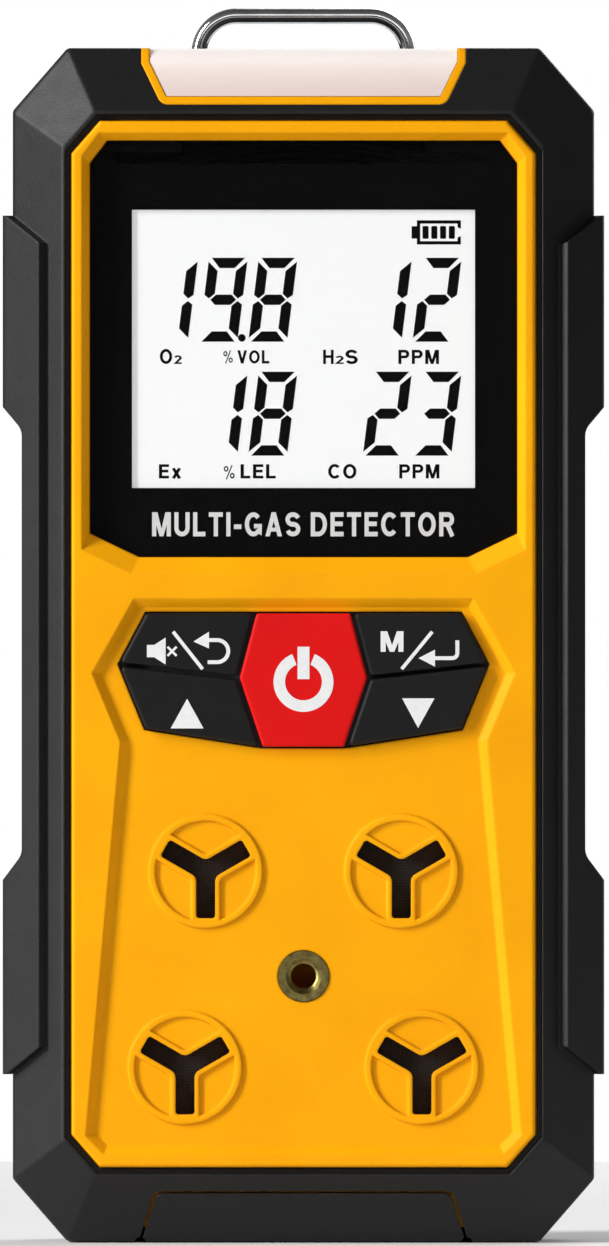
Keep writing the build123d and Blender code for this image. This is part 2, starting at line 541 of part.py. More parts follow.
def rear_cover():
    half_w, low, high, cut = BACK_FACE
    outline = octagon(half_w - PLATEAU_GAP, low + PLATEAU_GAP, high - PLATEAU_GAP, cut)
    plateau = prism(polygon(outline), SIDE_BACK_Y, BACK_Y)
    plateau = fillet(plateau.faces().sort_by(Axis.Y)[-1].edges(), PLATEAU_EDGE_R)
    pad = prism(RectangleRounded(*CLIP_PAD), BACK_Y - PAST, BACK_Y + CLIP_PAD_T)
    shell = (CORE & BACK_HALF) + plateau + Pos(0, 0, CLIP_Z) * pad
    shell = shell - back_cavity() + lug(0, LUG_NECK_L)
    bosses = [disc(at, BOSS_R, PART_Y, BACK_WALL_Y + ROOT) for at in left_and_right(CASE_SCREWS)]
    shell += joined(bosses) & CORE
    for at in left_and_right(CASE_SCREWS):
        shell -= disc(at, CLEAR_R, PART_Y - PAST, SINK_Y + PAST)
        shell -= disc(at, SINK_R, SINK_Y, BACK_Y + PAST)
    for z in CLIP_SCREW_Z:
        shell -= disc((0, z), PILOT_R, CLIP_PILOT_Y, 2 * BACK_Y)
    for side in (-1, 1):
        end = side * (LUG_HALF_W - LUG_HOLE_L / 2)
        shell -= rod(BAIL_Y, BAIL_Z, LUG_HOLE_R, end - LUG_HOLE_L / 2, end + LUG_HOLE_L / 2)
    for at in sound_holes():
        shell -= disc(at, SOUND_HOLE_R, BACK_WALL_Y - PAST, BACK_Y + PAST)
    shell -= prism(label_outline(0), BACK_Y - LABEL_SINK, BACK_Y + PAST)
    return shell - prism(seal_ring(0), PART_Y, PART_Y + SEAL_GROOVE_DEPTH)


def side_outline(inset):
    """The side outline moved inwards."""
    return polygon(octagon(CASE_HALF_W - inset, inset, CASE_H - inset, CORNER_CUT - CUT_STEP * inset))


def seal_ring(play):
    """Outline of the seal between the two halves, narrowed by the play on each edge."""
    inner, outer = SEAL_GROOVE
    return side_outline(BUMPER_T + outer + play) - side_outline(BUMPER_T + inner - play)


def sound_holes():
    """Centre hole and a ring of six, over the buzzer."""
    x, z = BUZZER_AT
    angles = [i * pi / 3 for i in range(6)]
    return [BUZZER_AT] + [(x + SOUND_RING_R * cos(a), z + SOUND_RING_R * sin(a)) for a in angles]


def label_outline(inset):
    return Pos(0, LABEL_Z) * RectangleRounded(LABEL_W - 2 * inset, LABEL_H - 2 * inset, LABEL_R)


def rating_label():
    near = BACK_Y - LABEL_SINK
    return prism(label_outline(LABEL_PLAY), near, near + LABEL_T)


def rear_bumper():
    shell = (OUTSIDE & BACK_HALF) - CORE
    shell -= prism(polygon(octagon(*BACK_FACE)), SIDE_BACK_Y, 2 * BACK_Y)
    return shell - lug(LUG_GAP, 2 * LUG_NECK_L)


def case_gasket():
    return prism(seal_ring(SEAL_PLAY), PART_Y + 0.02, PART_Y + SEAL_GROOVE_DEPTH - 0.02)


# ---------------------------------------------------------------- lamp
def lamp_lens():
    """Frosted lens over the top front edge, with a rounder crown than the case."""
    soft = hull(LAMP_SINK)
    crown = [e for e in soft.edges().filter_by(Axis.X)
             if abs(e.center().Z - CASE_H) < 0.3 and e.center().Y < 0]
    body = fillet(crown, LAMP_CROWN_R) - hull(LAMP_T)
    return body & prism(lamp_outline(BEZEL_W + LAMP_FIT), 2 * FRONT_Y, LAMP_BACK_Y - BEZEL_W - LAMP_FIT)


def lamp_board():
    return block((-LAMP_BOARD_HALF_W, LAMP_BOARD_HALF_W), LAMP_BOARD_Y, LAMP_BOARD_Z)


def alarm_leds():
    body = Pos(0, 0, LAMP_BOARD_Z[1] + LED_T / 2) * Box(LED_SIDE, LED_SIDE, LED_T)
    return Compound(children=[solid_of(Pos(x, LED_Y, 0) * body) for x in LED_X])


# ---------------------------------------------------------------- window and display
def window():
    pane = prism(polygon(both_sides(window_outline(*3 * (-WINDOW_PLAY,)))), WINDOW_Y, WINDOW_Y + WINDOW_T)
    return chamfer(pane.faces().sort_by(Axis.Y)[0].edges(), WINDOW_CHAMFER)


def window_mask():
    outline = polygon(both_sides(window_outline(*3 * (-WINDOW_PLAY,))))
    view = Pos(0, (VIEW_LOW + VIEW_HIGH) / 2) * Rectangle(2 * VIEW_HALF_W, VIEW_HIGH - VIEW_LOW)
    return prism(outline - view, LEDGE_Y - MASK_T, LEDGE_Y)


def lcd_glass():
    return block((-LCD_HALF_W, LCD_HALF_W), (LCD_Y, LCD_Y + LCD_T), (LCD_LOW, LCD_HIGH))


def lcd_backlight():
    near = LCD_Y + LCD_T
    return block((-LCD_HALF_W, LCD_HALF_W), (near, near + BACKLIGHT_T), (LCD_LOW, LCD_HIGH))


def lcd_frame():
    near = LEDGE_Y + LEDGE_T + LCD_FRAME_PLAY
    middle = Pos(0, (LCD_LOW + LCD_HIGH) / 2)
    inner_w, inner_h = 2 * (LCD_HALF_W + LCD_FRAME_PLAY), LCD_HIGH - LCD_LOW + 2 * LCD_FRAME_PLAY
    outer = Rectangle(inner_w + 2 * LCD_FRAME_SIDE_T, inner_h + 2 * LCD_FRAME_T)
    return prism(middle * (outer - Rectangle(inner_w, inner_h)), near, MAIN_Y)


# ---------------------------------------------------------------- keys
KEYS = {
    "power": (POWER_OUTLINE, POWER_SWITCH),
    "mute": (mirrored(UPPER_OUTLINE), (-UPPER_SWITCH[0], UPPER_SWITCH[1])),
    "menu": (UPPER_OUTLINE, UPPER_SWITCH),
    "up": (mirrored(LOWER_OUTLINE), (-LOWER_SWITCH[0], LOWER_SWITCH[1])),
    "down": (LOWER_OUTLINE, LOWER_SWITCH),
}


def key_cluster():
    """Outline of the opening for all five keys."""
    right = [POWER_OUTLINE[3], LOWER_OUTLINE[2], LOWER_OUTLINE[1], UPPER_OUTLINE[1]]
    return polygon(both_sides(right))


def key_outline(points, inset):
    return offset(polygon(points), amount=-inset, kind=Kind.INTERSECTION)


def key(points):
    cap = prism(key_outline(points, KEY_GAP / 2), KEY_TOP_Y, KEY_FOOT_Y)
    cap = fillet(cap.edges().filter_by(Axis.Y), KEY_CORNER_R)
    return fillet(cap.faces().sort_by(Axis.Y)[0].edges(), KEY_EDGE_R)


def plunger(at):
    return disc(at, PLUNGER_R, PLUNGER_TOP_Y, SWITCH_Y + PLUNGER_SINK)


def key_membrane():
    """One silicone sheet behind the opening, with a pad under each key and a nub over each switch."""
    sheet_back = WALL_Y + MEMBRANE_T
    sheet = prism(offset(key_cluster(), amount=MEMBRANE_RIM), WALL_Y, sheet_back)
    pads = [prism(key_outline(points, PAD_INSET), KEY_FOOT_Y, WALL_Y) for points, _ in KEYS.values()]
    nubs = [disc(at, NUB_R, sheet_back, PLUNGER_TOP_Y) for _, at in KEYS.values()]
    return joined([sheet] + pads + nubs)


def key_switches():
    """Five tactile switch bodies on the board, each with a bore for its plunger."""
    body = RectangleRounded(SWITCH_SIDE, SWITCH_SIDE, SWITCH_CORNER_R)
    bodies = []
    for _, at in KEYS.values():
        switch = prism(Pos(*at) * body, SWITCH_Y, MAIN_Y)
        bodies.append(switch - disc(at, PLUNGER_R + PLUNGER_PLAY, SWITCH_Y - PAST, SWITCH_Y + SWITCH_BORE_L))
    return Compound(children=[solid_of(b) for b in bodies])


# ---------------------------------------------------------------- boards
def main_board():
    board = prism(polygon(octagon(*MAIN_BOARD)), MAIN_Y, MAIN_Y + BOARD_T)
    for at in left_and_right(MAIN_POSTS):
        board -= disc(at, BOARD_HOLE_R, MAIN_Y - PAST, MAIN_Y + BOARD_T + PAST)
    return board


def board_chips():
    """Packages on the back of the main board."""
    near = MAIN_Y + BOARD_T
    chips = [prism(Pos(*at) * Rectangle(w, h), near, near + t) for w, h, t, at in CHIPS]
    return Compound(children=[solid_of(c) for c in chips])


def board_header():
    return block((-HEADER_HALF_W, HEADER_HALF_W), (MAIN_Y + BOARD_T, SENSOR_BOARD_Y), HEADER_Z)


def sensor_board():
    far = SENSOR_BOARD_Y + BOARD_T
    board = prism(polygon(octagon(*SENSOR_BOARD)), SENSOR_BOARD_Y, far)
    holes = [(at, BOARD_HOLE_R) for at in left_and_right(SENSOR_POSTS)]
    holes += [(at, BOSS_R + BOSS_GAP) for at in left_and_right(CASE_SCREWS[:1])]
    holes += [((x + dx, z + dz), PIN_R + PIN_PLAY) for x, z in INLETS.values() for dx, dz in SENSOR_PINS]
    for at, radius in holes:
        board -= disc(at, radius, SENSOR_BOARD_Y - PAST, far + PAST)
    return board


def small_screw(at, seat):
    """Pan head screw whose head bears on the depth seat."""
    head_r, head_t, length = BOARD_SCREW
    head = fillet(disc(at, head_r, seat, seat + head_t).edges().sort_by(Axis.Y)[-1], BOARD_SCREW_EDGE_R)
    return head + disc(at, POST_PILOT_R - THREAD_PLAY, seat - length, seat)


def board_screws():
    screws = [small_screw(at, MAIN_Y + BOARD_T) for at in left_and_right(MAIN_POSTS)]
    screws += [small_screw(at, SENSOR_BOARD_Y + BOARD_T) for at in left_and_right(SENSOR_POSTS)]
    return Compound(children=[solid_of(s) for s in screws])


# ---------------------------------------------------------------- sensors
def sensor(at):
    """Round gas cell: can with a raised membrane seat in front and three pins behind."""
    back = SENSOR_Y + SENSOR_L
    can = fillet(disc(at, SENSOR_R, SENSOR_Y, back).edges(), SENSOR_EDGE_R)
    can -= disc(at, SENSOR_MOUTH_R, SENSOR_Y - PAST, SENSOR_Y + SENSOR_MOUTH_L)
    pins = [disc((at[0] + dx, at[1] + dz), PIN_R, back - PIN_ROOT, back + PIN_L) for dx, dz in SENSOR_PINS]
    return joined([can] + pins)


def sensor_holder():
    """Plate that keeps the four cells apart, around the posts and the insert's boss."""
    plate = prism(polygon(octagon(*HOLDER)), *HOLDER_Y)
    holes = [(at, SENSOR_R + HOLDER_PLAY) for at in INLETS.values()]
    holes += [(at, POST_R + POST_GAP) for at in left_and_right(SENSOR_POSTS)]
    holes += [(at, BOSS_R + HOLDER_PLAY) for at in left_and_right(CASE_SCREWS[:1])]
    for at, radius in holes:
        plate -= disc(at, radius, HOLDER_Y[0] - PAST, HOLDER_Y[1] + PAST)
    for x, z in SENSOR_POSTS:
        half_h = POST_R + POST_GAP
        plate -= twin(block((x, 2 * x), (HOLDER_Y[0] - PAST, HOLDER_Y[1] + PAST), (z - half_h, z + half_h)))
    return plate


def dust_filters():
    filters = [disc(at, FILTER_R, WALL_Y, WALL_Y + FILTER_T) for at in INLETS.values()]
    return Compound(children=[solid_of(f) for f in filters])


def sensor_gaskets():
    near = WALL_Y + FILTER_T
    ring = Circle(SEAL_R) - Circle(SEAL_BORE_R)
    rings = [prism(Pos(*at) * ring, near, near + SEAL_T) for at in INLETS.values()]
    return Compound(children=[solid_of(r) for r in rings])


def pump_insert():
    """Brass insert with a knurled rim and a countersunk threaded hole."""
    teeth = []
    for i in range(2 * INSERT_TEETH):
        radius = INSERT_R - INSERT_FIT - INSERT_TOOTH * (i % 2)
        angle = i * pi / INSERT_TEETH
        teeth.append((radius * cos(angle), radius * sin(angle)))
    body = prism(Pos(*INSERT_AT) * polygon(teeth), INSERT_Y, INSERT_Y + INSERT_L - INSERT_PLAY)
    body -= disc(INSERT_AT, INSERT_HOLE_R, INSERT_Y - PAST, INSERT_Y + INSERT_L)
    mouth = body.edges().filter_by(GeomType.CIRCLE).sort_by(Axis.Y)[0]
    return chamfer(mouth, INSERT_MOUTH)


# ---------------------------------------------------------------- charging port
def usb_socket():
    """Metal shell, open at the bottom, with a flat tongue inside."""
    centre = Pos(0, PORT_Y)
    shell = upright(centre * RectangleRounded(*SOCKET), SOCKET_Z, SOCKET_Z + SOCKET_L)
    shell -= upright(centre * RectangleRounded(*SOCKET_MOUTH), SOCKET_Z, SOCKET_Z + SOCKET_DEPTH)
    return shell + upright(centre * Rectangle(*SOCKET_TONGUE), *SOCKET_TONGUE_Z)


def usb_board():
    near = PORT_Y + SOCKET[1] / 2
    return block((-PORT_BOARD_HALF_W, PORT_BOARD_HALF_W), (near, near + PORT_BOARD_T), PORT_BOARD_Z)


# ---------------------------------------------------------------- power and alarms
def battery():
    return fillet(block(BATTERY_X, BATTERY_Y, BATTERY_Z).edges(), BATTERY_EDGE_R)


def battery_pad():
    return block(BATTERY_PAD_X, (BATTERY_Y[1], BACK_WALL_Y), BATTERY_PAD_Z)


def battery_connector():
    return block(CONNECTOR_X, (MAIN_Y + BOARD_T, CONNECTOR_FAR_Y), CONNECTOR_Z)


def battery_leads():
    """Two insulated leads from the battery's top edge to its connector."""
    leads = []
    battery_y, over_y, connector_y = LEAD_Y
    for start_x, end_x, rise in LEADS:
        route = [
            (start_x, battery_y, BATTERY_Z[1]), (start_x, battery_y, rise), (end_x, over_y, rise),
            (end_x, connector_y, rise), (end_x, connector_y, CONNECTOR_Z[1]),
        ]
        path = FilletPolyline(*route, radius=LEAD_BEND_R)
        section = Plane(origin=route[0], z_dir=(0, 0, 1)) * Circle(LEAD_R)
        leads.append(sweep(section, path=path))
    return Compound(children=[solid_of(lead) for lead in leads])


def buzzer():
    near, far = MAIN_Y + BOARD_T, MAIN_Y + BOARD_T + BUZZER_L
    can = fillet(disc(BUZZER_AT, BUZZER_R, near, far).edges().sort_by(Axis.Y)[-1], BUZZER_EDGE_R)
    return can - disc(BUZZER_AT, BUZZER_MOUTH_R, far - BUZZER_MOUTH_L, far + PAST)


def vibration_motor():
    end = MOTOR_X[1]
    can = fillet(rod(MOTOR_Y, MOTOR_Z, MOTOR_R, *MOTOR_X).edges(), MOTOR_EDGE_R)
    return can - rod(MOTOR_Y, MOTOR_Z, MOTOR_BORE_R, end - MOTOR_BORE_L, end + PAST)


def vibration_weight():
    """Half-round weight on the motor's shaft."""
    end = MOTOR_X[1]
    beyond = Pos(0, WEIGHT_CUT + WEIGHT_R) * Rectangle(3 * WEIGHT_R, 2 * WEIGHT_R)
    half = Circle(WEIGHT_R) - beyond
    weight = across(Pos(MOTOR_Y, MOTOR_Z) * half, end + WEIGHT_X[0], end + WEIGHT_X[1])
    return weight + rod(MOTOR_Y, MOTOR_Z, SHAFT_R, end - SHAFT_SINK, end + SHAFT_L)


def motor_pad():
    height = (MOTOR_Z - MOTOR_PAD_HALF_H, MOTOR_Z + MOTOR_PAD_HALF_H)
    return block(MOTOR_PAD_X, (MAIN_Y + BOARD_T, MOTOR_Y - MOTOR_R), height)


# ---------------------------------------------------------------- bail, clip and screws
def bail():
    inner = LUG_HALF_W - LUG_HOLE_L + BAIL_END_PLAY
    right = [(inner, BAIL_Z), (BAIL_HALF_W, BAIL_Z), (BAIL_HALF_W, BAIL_TOP)]
    points = [(x, BAIL_Y, z) for x, z in both_sides(right)]
    radii = [BAIL_ELBOW_R, BAIL_CORNER_R, BAIL_CORNER_R, BAIL_ELBOW_R]
    path = FilletPolyline(*points, radius=radii)
    section = Plane(origin=points[0], z_dir=(1, 0, 0)) * Circle(BAIL_R)
    return sweep(section, path=path)


def clip_ear(near, half_h, radius):
    """Side view of a plate from a depth to the pin, rounded about the pin."""
    low, high = CLIP_Z - radius, CLIP_Z + radius
    foot, head = CLIP_Z - half_h, CLIP_Z + half_h
    plate = polygon([(near, foot), (CLIP_PIN_Y, low), (CLIP_PIN_Y, high), (near, head)])
    return plate + Pos(CLIP_PIN_Y, CLIP_Z) * Circle(radius)


def pin_hole(radius):
    return rod(CLIP_PIN_Y, CLIP_Z, radius, -2 * CLIP_HALF_W, 2 * CLIP_HALF_W)


def clip_bracket():
    near = BACK_Y + CLIP_PAD_T
    plan = Pos(0, CLIP_Z) * RectangleRounded(2 * CLIP_HALF_W, CLIP_BASE_H, CLIP_BASE_R)
    base = prism(plan, near, near + CLIP_T)
    ears = twin(across(clip_ear(near, EAR_HALF_H, EAR_R), CLIP_HALF_W - CLIP_T, CLIP_HALF_W))
    bracket = base + ears - pin_hole(CLIP_PIN_R)
    for z in CLIP_SCREW_Z:
        bracket -= disc((0, z), CLEAR_R, near - PAST, near + CLIP_T + PAST)
    return bracket


def lever_profile():
    """Side view of the lever's strip: thumb pad, back over the pin, and a jaw that turns in and out."""
    middle = Spline(*LEVER_LINE)
    near, far = [], []
    for i in range(LEVER_STEPS + 1):
        spot, run = middle @ (i / LEVER_STEPS), middle % (i / LEVER_STEPS)
        aside = Vector(-run.Y, run.X) * (CLIP_T / 2)
        near.append(spot + aside)
        far.append(spot - aside)
    outline = Spline(*near) + Line(near[-1], far[-1]) + Spline(*reversed(far)) + Line(far[0], near[0])
    return make_face(outline)


def clip_lever():
    half_w = CLIP_HALF_W - CLIP_T - LEVER_GAP
    top, bottom = LEVER_LINE[0][1] + LEVER_END, LEVER_LINE[-1][1] - LEVER_END
    plan = Pos(0, (top + bottom) / 2) * RectangleRounded(2 * half_w, top - bottom, LEVER_CORNER_R)
    strip = across(lever_profile(), -half_w, half_w) & prism(plan, BACK_Y, 2 * BACK_Y)
    cheeks = twin(across(clip_ear(CHEEK_Y, CHEEK_HALF_H, CHEEK_R), half_w - CHEEK_T, half_w))
    return strip + cheeks - pin_hole(CLIP_PIN_R + LEVER_PIN_PLAY)


def clip_pin():
    end = CLIP_HALF_W
    pin = rod(CLIP_PIN_Y, CLIP_Z, CLIP_PIN_R, -end, end)
    return pin + twin(rod(CLIP_PIN_Y, CLIP_Z, PIN_HEAD_R, end, end + PIN_HEAD_T))


def clip_spring():
    """Torsion spring round the pin, with a leg on the bracket's base and a leg under the lever."""
    turns = SPRING_TURNS - (SPRING_TO_BASE + SPRING_TO_LEVER) / (2 * pi)
    length = SPRING_PITCH * turns
    coil = Helix(pitch=SPRING_PITCH, height=length, radius=SPRING_R)
    start, finish = [Plane(origin=coil @ t, z_dir=coil % t) * Circle(SPRING_WIRE_R) for t in (0, 1)]
    wire = sweep(start, path=coil, is_frenet=True)
    legs = extrude(start, amount=-SPRING_LEG) + extrude(finish, amount=SPRING_LEG)
    down = (0, -cos(SPRING_TO_BASE), -sin(SPRING_TO_BASE))
    axis = Plane(origin=(-length / 2, CLIP_PIN_Y, CLIP_Z), x_dir=down, z_dir=(1, 0, 0))
    return axis.location * (wire + legs)


def screw(at, seat, head_r, head_t, length):
    """Pan head screw along Y with a cross recess; its head bears on the depth seat."""
    top = seat + head_t
    head = fillet(disc(at, head_r, seat, top).edges().sort_by(Axis.Y)[-1], SCREW_EDGE * head_t)
    body = head + disc(at, PILOT_R - THREAD_PLAY, seat - length, seat)
    long, wide = CROSS_L * head_r, CROSS_W * head_r
    cross = Rectangle(long, wide) + Rectangle(wide, long)
    return body - prism(Pos(*at) * cross, top - CROSS_DEPTH * head_t, top + PAST)


def case_screws():
    screws = [screw(at, SINK_Y, *CASE_SCREW) for at in left_and_right(CASE_SCREWS)]
    return Compound(children=[solid_of(s) for s in screws])


def clip_screws():
    seat = BACK_Y + CLIP_PAD_T + CLIP_T
    screws = [screw((0, z), seat, *CLIP_SCREW) for z in CLIP_SCREW_Z]
    return Compound(children=[solid_of(s) for s in screws])


def solid_of(shape):
    """The single solid of a shape."""
    return shape.solids()[0]


# ---------------------------------------------------------------- every node
def nodes():
    made = {
        "front_cover": front_cover, "front_bumper": front_bumper,
        "rear_cover": rear_cover, "rear_bumper": rear_bumper,
        "case_gasket": case_gasket, "rating_label": rating_label,
        "window": window, "window_mask": window_mask,
        "lcd_glass": lcd_glass, "lcd_backlight": lcd_backlight, "lcd_frame": lcd_frame,
        "key_membrane": key_membrane, "key_switches": key_switches,
        "main_board": main_board, "board_chips": board_chips, "board_header": board_header,
        "sensor_board": sensor_board, "board_screws": board_screws, "sensor_holder": sensor_holder,
        "dust_filters": dust_filters, "sensor_gaskets": sensor_gaskets, "pump_insert": pump_insert,
        "lamp_lens": lamp_lens, "lamp_board": lamp_board, "alarm_leds": alarm_leds,
        "port_cover": port_cover, "usb_socket": usb_socket, "usb_board": usb_board,
        "battery": battery, "battery_pad": battery_pad,
        "battery_connector": battery_connector, "battery_leads": battery_leads,
        "buzzer": buzzer, "vibration_motor": vibration_motor, "vibration_weight": vibration_weight,
        "motor_pad": motor_pad, "bail": bail,
        "clip_bracket": clip_bracket, "clip_lever": clip_lever, "clip_pin": clip_pin,
        "clip_spring": clip_spring, "clip_screws": clip_screws, "case_screws": case_screws,
    }
    shapes = {name: make() for name, make in made.items()}
    for name, (points, at) in KEYS.items():
        shapes[f"{name}_key"] = key(points)
        shapes[f"{name}_key_plunger"] = plunger(at)
    for name, at in INLETS.items():
        shapes[f"{name}_sensor"] = sensor(at)
    return shapes


os.makedirs("parts", exist_ok=True)
for name, shape in nodes().items():
    export_step(shape, f"parts/{name}.step")
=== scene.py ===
import json
from math import atan2, cos, pi, radians, sin

import bmesh
import bpy
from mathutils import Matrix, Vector


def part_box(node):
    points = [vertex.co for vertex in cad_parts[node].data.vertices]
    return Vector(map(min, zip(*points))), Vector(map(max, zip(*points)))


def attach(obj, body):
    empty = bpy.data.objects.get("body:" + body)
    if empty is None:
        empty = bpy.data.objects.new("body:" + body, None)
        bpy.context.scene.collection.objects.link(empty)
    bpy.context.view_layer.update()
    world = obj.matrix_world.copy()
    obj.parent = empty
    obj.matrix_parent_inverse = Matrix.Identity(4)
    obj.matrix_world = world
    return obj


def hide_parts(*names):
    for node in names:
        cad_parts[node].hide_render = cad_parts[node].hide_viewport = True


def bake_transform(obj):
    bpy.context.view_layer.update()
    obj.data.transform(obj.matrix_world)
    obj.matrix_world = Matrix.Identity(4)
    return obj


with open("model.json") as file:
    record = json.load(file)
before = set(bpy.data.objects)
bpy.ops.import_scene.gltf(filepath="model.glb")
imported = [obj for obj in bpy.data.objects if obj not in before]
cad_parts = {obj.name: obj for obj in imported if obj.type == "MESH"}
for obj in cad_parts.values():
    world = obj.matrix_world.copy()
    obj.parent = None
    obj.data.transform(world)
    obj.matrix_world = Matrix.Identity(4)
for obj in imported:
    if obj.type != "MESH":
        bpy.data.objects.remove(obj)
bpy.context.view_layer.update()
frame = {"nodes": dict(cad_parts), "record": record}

# Lengths in this file are millimetres; MM turns them into the frame's metres.
MM = 0.001


def box_mm(node):
    """A CAD node's lowest and highest corner in millimetres."""
    low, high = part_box(node)
    return Vector(low) / MM, Vector(high) / MM


# ---------------------------------------------------------------- materials
class Look:
    """A Principled material with procedural detail in object space."""

    def __init__(self, name, roughness, metallic=0.0, color=None, **sockets):
        self.material = bpy.data.materials.new(name)
        self.material.use_nodes = True
        self.tree = self.material.node_tree
        self.shader = self.tree.nodes["Principled BSDF"]
        self.shader.inputs["Roughness"].default_value = roughness
        self.shader.inputs["Metallic"].default_value = metallic
        if color:
            self.shader.inputs["Base Color"].default_value = (*color, 1)
        for socket, value in sockets.items():
            self.shader.inputs[socket.replace("_", " ")].default_value = value
        self.place = self.add("TexCoord").outputs["Object"]
        self.normal = None

    def add(self, kind, **settings):
        node = self.tree.nodes.new("ShaderNode" + kind)
        for key, value in settings.items():
            setattr(node, key, value)
        return node

    def link(self, source, target):
        self.tree.links.new(source, target)

    def scaled(self, stretch):
        """Object coordinates, stretched."""
        mapping = self.add("Mapping")
        mapping.inputs["Scale"].default_value = stretch
        self.link(self.place, mapping.inputs["Vector"])
        return mapping.outputs["Vector"]

    def noise(self, size, detail=3.0, stretch=(1, 1, 1)):
        """Noise whose features are about size millimetres, from 0 to 1."""
        node = self.add("TexNoise")
        node.inputs["Scale"].default_value = 1 / (size * MM)
        node.inputs["Detail"].default_value = detail
        self.link(self.scaled(stretch), node.inputs["Vector"])
        return node.outputs["Fac"]

    def cells(self, size, feature="F1"):
        """Voronoi cells of about size millimetres."""
        node = self.add("TexVoronoi", feature=feature)
        node.inputs["Scale"].default_value = 1 / (size * MM)
        self.link(self.place, node.inputs["Vector"])
        return node.outputs["Distance"]

    def waves(self, size, direction="Z", distortion=0.0):
        """Parallel bands, one every size millimetres."""
        node = self.add("TexWave", wave_type="BANDS", bands_direction=direction)
        node.inputs["Scale"].default_value = 2 * pi / (20 * size * MM)
        node.inputs["Distortion"].default_value = distortion
        self.link(self.place, node.inputs["Vector"])
        return node.outputs["Fac"]

    def span(self, factor, low, high, start=0.0, end=1.0):
        """Maps a factor from start..end to low..high."""
        node = self.add("MapRange")
        for socket, value in (("From Min", start), ("From Max", end), ("To Min", low), ("To Max", high)):
            node.inputs[socket].default_value = value
        self.link(factor, node.inputs["Value"])
        return node.outputs["Result"]

    def soften(self, radius):
        """Rounds the shading over edges and gives a mask: near 1 on edges, 0 on flat faces."""
        bevel = self.add("Bevel", samples=4)
        bevel.inputs["Radius"].default_value = radius * MM
        self.normal = bevel.outputs["Normal"]
        dot = self.add("VectorMath", operation="DOT_PRODUCT")
        self.link(self.normal, dot.inputs[0])
        self.link(self.add("NewGeometry").outputs["Normal"], dot.inputs[1])
        return self.span(dot.outputs["Value"], 1.0, 0.0, 0.86, 0.995)

    def times(self, first, second):
        node = self.add("Math", operation="MULTIPLY")
        self.link(first, node.inputs[0])
        self.link(second, node.inputs[1])
        return node.outputs["Value"]

    def color(self, factor, *stops):
        """Base colour from a ramp over the factor; a stop is (position, (r, g, b))."""
        self.link(self.ramp(factor, *stops), self.shader.inputs["Base Color"])
        return self

    def ramp(self, factor, *stops):
        node = self.add("ValToRGB")
        elements = node.color_ramp.elements
        while len(elements) < len(stops):
            elements.new(0.5)
        for element, (position, rgb) in zip(elements, stops):
            element.position = position
            element.color = (*rgb, 1)
        self.link(factor, node.inputs["Fac"])
        return node.outputs["Color"]

    def wear_and_highlight_color(self, factor, stops, edge_mask, edge_rgb):
        """Ramp colour that turns towards another colour along edges: lighter edges, partly rubbed wear and
        partly a painted edge highlight.
        """
        mix = self.add("Mix", data_type="RGBA")
        self.link(edge_mask, mix.inputs["Factor"])
        self.link(self.ramp(factor, *stops), mix.inputs["A"])
        mix.inputs["B"].default_value = (*edge_rgb, 1)
        self.link(mix.outputs["Result"], self.shader.inputs["Base Color"])
        return self

    def gloss(self, factor, low, high):
        """Roughness that follows a factor."""
        self.link(self.span(factor, low, high), self.shader.inputs["Roughness"])
        return self

    def relief(self, factor, depth, strength=1.0):
        """Adds a bump layer of the given depth in millimetres."""
        node = self.add("Bump")
        node.inputs["Distance"].default_value = depth * MM
        node.inputs["Strength"].default_value = strength
        self.link(factor, node.inputs["Height"])
        if self.normal:
            self.link(self.normal, node.inputs["Normal"])
        self.normal = node.outputs["Normal"]
        self.link(self.normal, self.shader.inputs["Normal"])
        return self


def shade(rgb, factor):
    return tuple(min(1.0, c * factor) for c in rgb)


def moulded(name, rgb, roughness, grain=0.3, depth=0.012, wear_and_highlight=0.0, worn_and_highlit=None, **sockets):
    """Moulded plastic or rubber: grain and its depth in millimetres, faint mottling and lighter edges,
    partly rubbed wear and partly a painted edge highlight.
    """
    look = Look(name, roughness, **sockets)
    mottle = look.noise(14, 4)
    stops = [(0.3, shade(rgb, 0.93)), (0.7, shade(rgb, 1.06))]
    if wear_and_highlight:
        # Edges turn towards a lighter colour in patches: partly rubbed wear, partly a painted edge
        # highlight.
        patchy = look.span(look.noise(5, 5), 0.0, wear_and_highlight, 0.42, 0.75)
        look.wear_and_highlight_color(mottle, stops, look.times(look.soften(0.35), patchy), worn_and_highlit)
    else:
        look.color(mottle, *stops)
    look.gloss(look.noise(2.5, 6), roughness - 0.06, roughness + 0.08)
    look.relief(look.noise(grain, 2), depth)
    look.relief(look.noise(grain * 9, 3), depth * 1.5)
    return look


def metal(name, rgb, roughness, brushed=(1, 1, 1), depth=0.004, grain=0.25):
    """Bare or plated metal with fine machining marks and a little tarnish."""
    look = Look(name, roughness, metallic=1.0)
    look.color(look.noise(3, 5), (0.3, shade(rgb, 0.86)), (0.7, shade(rgb, 1.08)))
    look.gloss(look.noise(0.9, 5, brushed), roughness - 0.05, roughness + 0.12)
    look.relief(look.noise(grain, 3, brushed), depth)
    return look


YELLOW = (1.0, 0.41, 0.003)
BLACK = (0.010, 0.010, 0.0103)
RED = (0.72, 0.006, 0.006)


def circuit_board():
    """Solder mask over copper traces: blocks of fine parallel lines and round vias."""
    look = Look("circuit_board", 0.32, Coat_Weight=0.4)
    traces = look.times(look.waves(0.9, "X"), look.waves(1.3, "Z", 2.0))
    look.color(traces, (0.25, (0.004, 0.09, 0.035)), (0.5, (0.012, 0.17, 0.07)))
    look.relief(traces, 0.03)
    look.relief(look.cells(2.6), 0.02)
    return look.gloss(look.noise(2, 4), 0.25, 0.42)


def chrome_wire():
    look = Look("chrome_wire", 0.1, metallic=1.0)
    look.color(look.noise(2.5, 5), (0.3, (0.62, 0.62, 0.64)), (0.7, (0.80, 0.80, 0.82)))
    look.gloss(look.noise(0.7, 6), 0.06, 0.2)
    return look.relief(look.noise(0.5, 5, (0.2, 1, 1)), 0.003)


